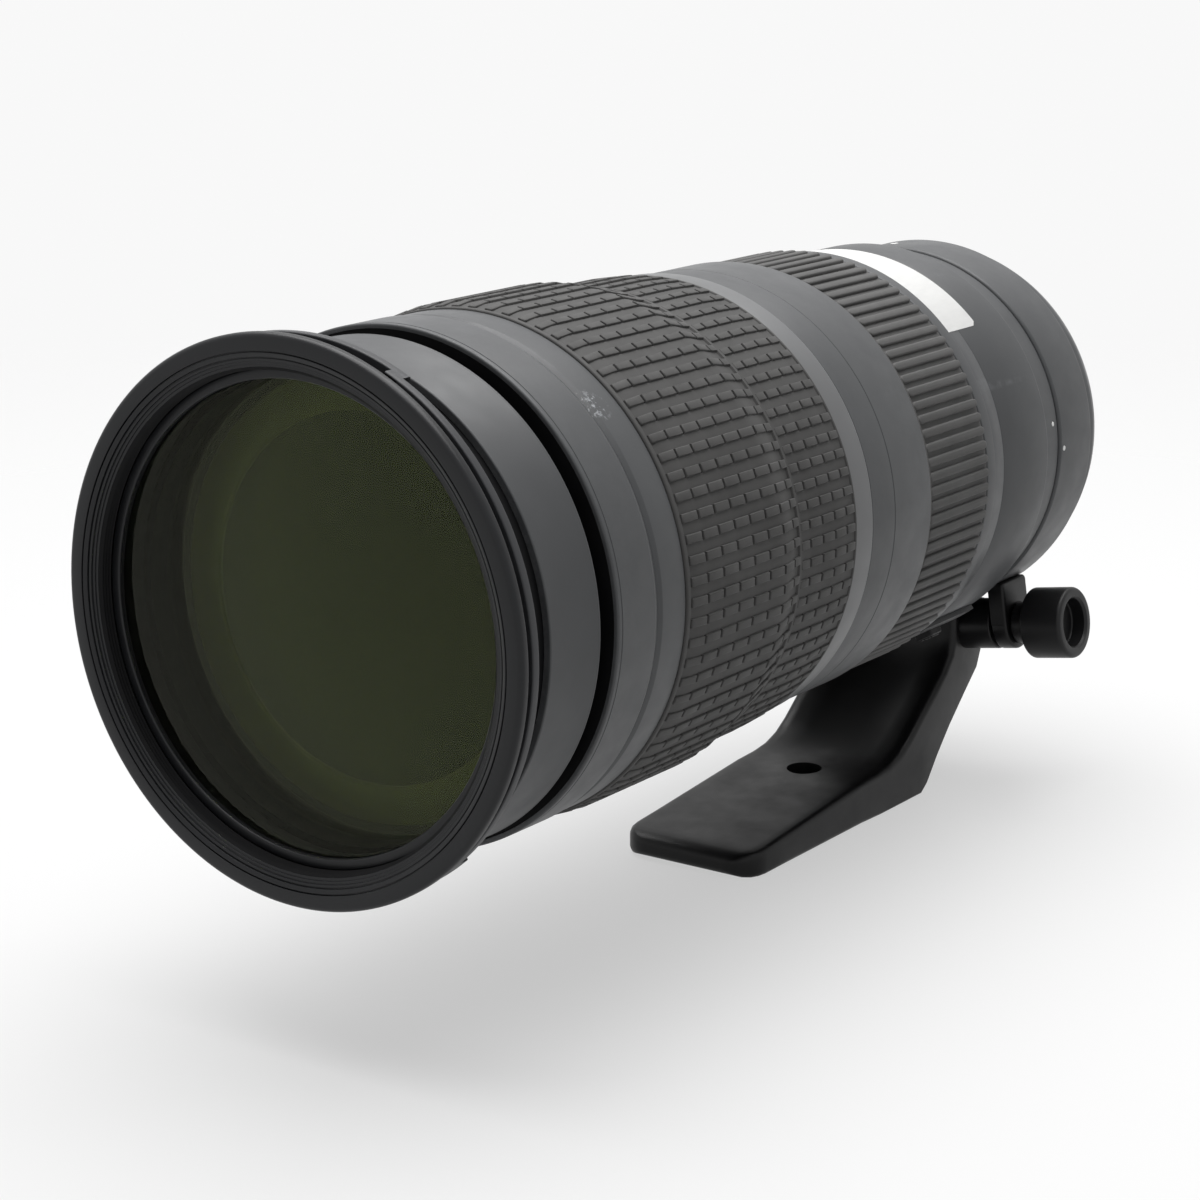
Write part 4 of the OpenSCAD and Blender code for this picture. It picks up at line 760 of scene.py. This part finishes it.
def mount_screw_heads():
    """The flange's screws: low domed heads with a cross recess."""
    head_r, recess_r, arm = 1.8, 1.05, 0.26
    screws, count = 4, 48
    first = PANEL_ANGLE + 45
    shape = Shape()
    ring_r = (radius("mount_screws") - head_r) / math.cos(math.radians(first))
    length = span("mount_screws")[1]
    circle = [(math.cos(2 * math.pi * i / count), math.sin(2 * math.pi * i / count)) for i in range(count)]
    cross = cross_outline(recess_r, arm, count)
    for k in range(screws):
        middle = point(ring_r, 0, first + FULL / screws * k)
        def lay(outline, height, share=1.0):
            return [middle + Vector((x * share * MM, height * MM, z * share * MM)) for x, z in outline]
        shape.loft([lay(circle, -length, head_r / 2), lay(circle, -1.2, head_r / 2), lay(circle, -1.2, head_r),
                    lay(circle, 0.05, head_r), lay(circle, 0.13, head_r - 0.2), lay(circle, 0.16, recess_r + 0.2),
                    lay(cross, 0.16), lay(cross, -0.5, 0.7)])
    piece("mount_screw_heads", shape, "barrel", screw_metal, ["mount_screws"])


# Tripod collar, foot and knob

CLAMP_R, CLAMP_ANGLE, CLAMP_TILT = 53.5, -60.0, 9.0
HINGE_R, HINGE_ANGLE, KNUCKLE_R = 45.2, 120.0, 2.2
COLLAR_R = 44.8
EAR_R = 6.2                  # round ends of the clamp's boss and ear
FOOT_HALF = 18.0             # half the foot's width
FOOT_Z = -86.0               # underside of the foot
FOOT_TOE, TOE_CORNER, TOE_T = 133.0, 7.0, 5.5
TOE_SLOPE, PLATE_SLOPE = 0.09, 0.0915        # rise of the plate's top, back from the toe
HOLE_AT, HOLE_R = 80.6, 3.175

middle_station = (collar_from + collar_to) / 2


def clamp_place(x, y, z):
    """Places a clamp part: z runs along the clamp screw, x across it, y along the lens."""
    a = math.radians(CLAMP_TILT)
    base = point(CLAMP_R, middle_station, CLAMP_ANGLE)
    return base + Vector((z * math.cos(a) - x * math.sin(a), -y, z * math.sin(a) + x * math.cos(a))) * MM


def hinge_place(x, y, z):
    """Places a hinge part: z runs along the lens, x outwards."""
    a = math.radians(HINGE_ANGLE)
    base = point(HINGE_R, z, HINGE_ANGLE)
    return base + Vector((x * math.cos(a) - y * math.sin(a), 0, x * math.sin(a) + y * math.cos(a))) * MM


def hoop(shape, start):
    """Half of the collar's hoop, with rounded outer edges."""
    gap = 0.3
    inside = SEAT_R + 0.08
    shape.turn([(inside, collar_from), (COLLAR_R, collar_from, 1.2), (COLLAR_R, collar_to, 0.8), (inside, collar_to)],
               start + gap, 180 - 2 * gap)


def knuckle(shape, low, high):
    """One knuckle of the hinge, between two stations."""
    shape.rod([(0, low), (KNUCKLE_R, low, 0.4), (KNUCKLE_R, high, 0.4), (0, high)], hinge_place)


def foot_section(low, high, half, dish, fillet_low, fillet_high):
    """One ring of the foot: low and high are (station, z) of the underside and the upper side."""
    run = Vector((high[0] - low[0], high[1] - low[1]))
    depth = run.length
    run.normalize()
    hollow = [(across * half, depth - share * dish) for across, share in (
        (0.8, 0), (0.55, 0.55), (0.28, 0.9), (0, 1), (-0.28, 0.9), (-0.55, 0.55), (-0.8, 0))]
    outline = rounded([(-half, 0, fillet_low), (half, 0, fillet_low), (half, depth, fillet_high), *hollow,
                       (-half, depth, fillet_high)])
    return [Vector((x, -(low[0] + run.x * h), low[1] + run.y * h)) * MM for x, h in outline]


def foot_rings():
    """Rings of the foot from the toe back along the plate and up the neck into the hoop."""
    rings = []
    for back, rise in ((0.0, 1.9), (0.25, 1.25), (0.8, 0.7), (1.8, 0.25), (3.2, 0.05), (5.0, 0.0), (7.0, 0.0)):
        half = FOOT_HALF - TOE_CORNER + math.sqrt(max(0.0, TOE_CORNER ** 2 - (TOE_CORNER - back) ** 2))
        station = FOOT_TOE - back
        top = FOOT_Z + TOE_T + TOE_SLOPE * back
        rings.append(((station, FOOT_Z + rise), (station, top - rise), half, 0.0, 1.3, 1.6))
    for station in (118, 108, 98, 90, 83):
        top = FOOT_Z + TOE_T + PLATE_SLOPE * (FOOT_TOE - station)
        rings.append(((station, FOOT_Z), (station, top), FOOT_HALF, 0.0, 1.4, 2.0))
    for low, high, dish in (
            ((74, FOOT_Z), (76, -75.6), 0.2), ((66, FOOT_Z), (70.5, -74.9), 0.6), ((60, FOOT_Z), (65.5, -73.2), 1.2),
            ((54.5, FOOT_Z), (61, -70.4), 2.0), ((51.9, -84.2), (57, -67.3), 2.6), ((47, -78.3), (53, -64.2), 3.0),
            ((41, -72), (48.6, -60.9), 3.0), ((33.5, -65.2), (44.6, -57.6), 2.6), ((27.6, -60), (41.4, -54), 1.8),
            ((25.4, -55), (40.3, -50.4), 1.0), ((24.3, -49), (40.2, -46.6), 0.4), ((24.2, -43), (40.2, -43), 0.0)):
        rings.append((low, high, FOOT_HALF, dish, 0.8, 2.6))
    return [foot_section(*ring) for ring in rings]


def bore_hole(foot):
    """Cuts the countersunk tripod hole through the foot's plate."""
    hole = Shape()
    below, above, under_r, sink_r = -90, -70, 4.0, 4.2
    hole.rod([(0, below), (under_r, below), (under_r, FOOT_Z), (HOLE_R, FOOT_Z + 0.8), (HOLE_R, FOOT_Z + 4.4),
              (sink_r, FOOT_Z + 5.4), (sink_r, above), (0, above)],
             lambda x, y, z: Vector((x, y - HOLE_AT, z)) * MM, 64)
    cutter = solid("tripod_hole_cutter", hole)
    cut = foot.modifiers.new("tripod_hole", "BOOLEAN")
    cut.operation = "DIFFERENCE"
    cut.object = cutter
    bpy.context.view_layer.update()
    done = bpy.data.meshes.new_from_object(foot.evaluated_get(bpy.context.evaluated_depsgraph_get()))
    foot.modifiers.clear()
    clean(done)
    foot.data = done
    bpy.data.objects.remove(cutter)


def collar_parts():
    """The collar's fixed half with its cast foot, the hinged strap, and the clamp knob."""
    foot, boss, hoop_half = Shape(), Shape(), Shape()
    foot.loft(foot_rings())
    boss.rod([(0, -11), (EAR_R, -11, 0.8), (EAR_R, -0.4, 0.4), (0, -0.4)], clamp_place)
    lobe = (collar_to - collar_from) / 3 - 0.3
    for low in (collar_from, collar_to - lobe):
        knuckle(hoop_half, low, low + lobe)
    hoop(hoop_half, HINGE_ANGLE)
    piece("collar_hoop", hoop_half, "collar", barrel_paint, ["collar_base"])
    bore_hole(piece("collar_foot", foot, "collar", foot_paint, ["collar_base"]))
    piece("clamp_boss", boss, "collar", foot_paint, ["collar_base"])
    strap = Shape()
    hoop(strap, CLAMP_ANGLE)
    low, high = collar_from + lobe + 0.3, collar_to - lobe - 0.3
    knuckle(strap, low, high)
    piece("strap_hoop", strap, "collar_strap", barrel_paint, ["collar_strap"])
    ear = Shape()
    near, far = 0.4, 4.6
    ear.rod([(0, near), (EAR_R, near, 0.4), (EAR_R, far, 0.8), (0, far)], clamp_place)
    ear.block((0, -EAR_R, near), (11.0, EAR_R, far), clamp_place, 0.8)
    piece("strap_ear", ear, "collar_strap", foot_paint, ["collar_strap"])
    knob_r, neck_r, recess_r = 8.6, 5, 5.85
    base, end, recess = 4.9, 19.9, 15.9
    knob = Shape()
    knob.rod([(0, base), (neck_r, base, 0.3), (neck_r, base + 3, 0.4), (knob_r, base + 4.4, 0.8), (knob_r, end, 1.0),
              (recess_r + 0.5, end, 0.3), (recess_r, end - 0.6, 0.2), (recess_r, recess, 0.5), (0, recess)],
             clamp_place)
    piece("collar_knob_cap", knob, "collar_knob", knob_plastic, ["collar_knob"])


# Switches, label and marks

LOCK_AT, LOCK_LIFT = 123.8, 0.45             # station of the zoom lock, and its height over the barrel
SWITCH_STEP = 13.0                           # degrees between the panel's switches
LABEL_LEN, LABEL_FROM, LABEL_TO, LABEL_CORNER = 14.7, 43.6, 125, 1.4


def facing(angle, r, station):
    """A placing function: x runs round the barrel, y along it, z outwards from a radius."""
    a = math.radians(angle)
    out = Vector((math.cos(a), 0, math.sin(a)))
    across = Vector((-math.sin(a), 0, math.cos(a)))
    base = out * (r * MM) + Vector((0, -station * MM, 0))
    return lambda x, y, z: base + (across * x + out * z) * MM - Vector((0, y * MM, 0))


def wrapped(shape, outline, low_r, top_r):
    """A thin plate bent round the lens axis over an outline of (station, angle) points."""
    size = len(outline)
    low = len(shape.points)
    top = low + size
    for r in (low_r, top_r):
        shape.points.extend(point(r, s, a) for s, a in outline)
    for i in range(size):
        j = (i + 1) % size
        shape.faces.append((low + i, low + j, top + j, top + i))
    for first in (low, top):
        for i in range(size // 2 - 1):
            shape.faces.append((first + i, first + i + 1, first + size - 2 - i, first + size - 1 - i))


def sheet_outline(low, high, start, end, corner, r):
    """An outline of a bent sheet, as two equal sides that meet at its ends, with rounded corners."""
    reach = math.degrees(corner / r)
    near, far = [], []
    for k in range(SHEET_STEPS + 1):
        angle = start + (end - start) * k / SHEET_STEPS
        edge = min(angle - start, end - angle)
        draw = corner - math.sqrt(max(0.0, corner ** 2 - (corner * (1 - min(1.0, edge / reach))) ** 2))
        near.append((low + draw, angle))
        far.append((high - draw, angle))
    return near + far[::-1]


def slider(name, body, node, angle, r, station, width, length, rise):
    """A switch cap with rounded edges and finger ridges across its travel."""
    place = facing(angle, r, station)
    shape = Shape()
    shape.block((-width / 2, -length / 2, -0.2), (width / 2, length / 2, rise), place, 0.5)
    ridges, half, reach = 4, 0.28, length * 0.36
    for k in range(ridges):
        x = (k - (ridges - 1) / 2) * width * 0.2
        shape.block((x - half, -reach, rise - 0.2), (x + half, reach, rise + 0.35), place, 0.2)
    piece(name, shape, body, knob_plastic, [node])


def switches():
    """Caps of the zoom lock and of the four switches on the panel."""
    slider("zoom_lock_cap", "zoom_lock", "zoom_lock_switch", PANEL_ANGLE, middle_r + LOCK_LIFT, LOCK_AT,
           width=7.0, length=6.0, rise=1.1)
    for k, (body, node) in enumerate((
            ("focus_mode", "focus_mode_switch"), ("focus_limit", "focus_limit_switch"),
            ("stabiliser_power", "stabiliser_switch"), ("stabiliser_mode", "stabiliser_mode_switch"))):
        low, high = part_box(node)
        angle = PANEL_ANGLE + (k - 1.5) * SWITCH_STEP
        station = -(low[1] + high[1]) / 2 / MM
        slider(node + "_cap", body, node, angle, BARREL_R, station, width=5.0, length=5.0, rise=2.6)


def marks():
    """A blank white label on the barrel and the white index dots."""
    label = Shape()
    high = rear_to - 0.3
    outline = sheet_outline(high - LABEL_LEN, high, LABEL_FROM, LABEL_TO, LABEL_CORNER, BARREL_R)
    wrapped(label, outline, BARREL_R - 0.05, BARREL_R + 0.09)
    piece("blank_label", label, "barrel", label_white)
    for name, body, angle, r, station, size in (
            ("collar_dot", "collar_strap", 0.7, COLLAR_R, collar_to - 1.8, 0.6),
            ("collar_top_mark", "collar_strap", 97, COLLAR_R, middle_station + 1, 1.0),
            ("band_dot", "barrel", 9, BAND_R, collar_to + 2.6, 0.55)):
        dot = Shape()
        dot.rod([(0, -0.2), (size, -0.2), (size, 0.06, 0.05), (0, 0.08)], facing(angle, r, station), 32)
        piece(name, dot, body, mark_white)


for build in (front_ring, hood_bayonet, front_retainer, front_glass_group, front_tubes, zoom_rubber, zoom_shells,
              barrel_shells, focus_parts, rear_parts, mount_screw_heads, collar_parts, switches, marks):
    build()

for node in frame["record"]["subparts"]:
    part = frame["nodes"][node["node"]]
    if not part.data.materials:
        part.data.materials.append(SLOT_MATERIALS[node["material_slot"]])
    else:
        for k in range(len(part.data.materials)):
            part.data.materials[k] = SLOT_MATERIALS[node["material_slot"]]


# Studio

WHITE = (1, 1, 1, 1)
WHITE_GLOW = 0.94            # of the surround, where it is seen or mirrored
FILL = 0.12                  # light that the surround gives off
FLOOR_Z = FOOT_Z * MM
FLOOR_SIZE = 30.0
FLOOR_GREY, FLOOR_ROUGH, FLOOR_GLOSS = (0.72, 0.72, 0.72, 1), 0.6, 0.2
FLOOR_GLOW = 0.56            # share of the surround's white in the floor
FLOOR_MIDDLE = (0.0, -0.12, FLOOR_Z)
FLOOR_FADE = (0.22, 0.75)    # distances from that middle between which the floor fades out
LAMP_AT, LAMP_AIM, LAMP_SIZE, LAMP_POWER = (-0.15, 0.05, 1.5), (0.0, -0.12, 0.0), 1.8, 50.0
CAMERA_AT = (0.3524, -0.6691, 0.1424)
CAMERA_TURN = (75.5204, 0.0, 35.0055)        # degrees
CAMERA_LENS, SENSOR = 89.713, 36.0


def seen_directly(tree):
    """1 for rays from the camera, off a mirror or through glass, and 0 for light that the surface gives off."""
    path = tree.nodes.new("ShaderNodeLightPath")
    last = path.outputs["Is Camera Ray"]
    for ray in ("Is Glossy Ray", "Is Transmission Ray"):
        most = tree.nodes.new("ShaderNodeMath")
        most.operation = "MAXIMUM"
        tree.links.new(last, most.inputs[0])
        tree.links.new(path.outputs[ray], most.inputs[1])
        last = most.outputs[0]
    return last


def floor():
    """A pale floor whose colour fades into the white surround away from the lens."""
    mesh = bpy.data.meshes.new("studio_floor")
    half = FLOOR_SIZE / 2
    corners = ((-half, -half), (half, -half), (half, half), (-half, half))
    mesh.from_pydata([(x, y, FLOOR_Z) for x, y in corners], [], [(0, 1, 2, 3)])
    item = bpy.data.objects.new("studio_floor", mesh)
    bpy.context.scene.collection.objects.link(item)
    n = Nodes("studio_floor")
    n.shade("Base Color", FLOOR_GREY)
    n.shade("Roughness", FLOOR_ROUGH)
    n.shade("Specular IOR Level", FLOOR_GLOSS)
    away = n.add("ShaderNodeVectorMath", {0: n.coords, 1: FLOOR_MIDDLE}, operation="DISTANCE").outputs["Value"]
    fade = n.spread(away, *FLOOR_FADE, 0.0, 1.0)
    glow = n.add("ShaderNodeEmission", {"Color": WHITE, "Strength": WHITE_GLOW})
    seen = n.add("ShaderNodeMath", {0: seen_directly(n.tree), 1: FLOOR_GLOW}, operation="MULTIPLY").outputs[0]
    pale = n.add("ShaderNodeMixShader", {0: seen, 1: n.shader.outputs[0], 2: glow.outputs[0]})
    clear = n.add("ShaderNodeBsdfTransparent")
    mixed = n.add("ShaderNodeMixShader", {0: fade, 1: pale.outputs[0], 2: clear.outputs[0]})
    n.put(mixed.outputs[0], n.tree.nodes["Material Output"].inputs["Surface"])
    mesh.materials.append(n.material)


def world():
    """White where it is seen or mirrored, and a soft fill elsewhere."""
    made = bpy.data.worlds.new("studio_world")
    bpy.context.scene.world = made
    made.use_nodes = True
    tree = made.node_tree
    fill = tree.nodes["Background"]
    fill.inputs["Color"].default_value = WHITE
    fill.inputs["Strength"].default_value = FILL
    white = tree.nodes.new("ShaderNodeBackground")
    white.inputs["Color"].default_value = WHITE
    white.inputs["Strength"].default_value = WHITE_GLOW
    mix = tree.nodes.new("ShaderNodeMixShader")
    tree.links.new(seen_directly(tree), mix.inputs[0])
    tree.links.new(fill.outputs[0], mix.inputs[1])
    tree.links.new(white.outputs[0], mix.inputs[2])
    tree.links.new(mix.outputs[0], tree.nodes["World Output"].inputs["Surface"])


def lamp(name, place, target, size, power):
    """A soft square lamp aimed at a point."""
    light = bpy.data.lights.new(name, "AREA")
    light.shape = "SQUARE"
    light.size = size
    light.energy = power
    item = bpy.data.objects.new(name, light)
    bpy.context.scene.collection.objects.link(item)
    item.location = place
    item.rotation_euler = (Vector(target) - Vector(place)).to_track_quat("-Z", "Y").to_euler()


def camera():
    """The photograph's view."""
    lens = bpy.data.cameras.new("photo_camera")
    lens.sensor_width = SENSOR
    lens.lens = CAMERA_LENS
    lens.dof.use_dof = False
    item = bpy.data.objects.new("photo_camera", lens)
    bpy.context.scene.collection.objects.link(item)
    item.location = CAMERA_AT
    item.rotation_euler = [math.radians(turn) for turn in CAMERA_TURN]
    bpy.context.scene.camera = item


floor()
world()
lamp("overhead", LAMP_AT, LAMP_AIM, LAMP_SIZE, LAMP_POWER)
camera()
bpy.context.scene.view_settings.view_transform = "Standard"
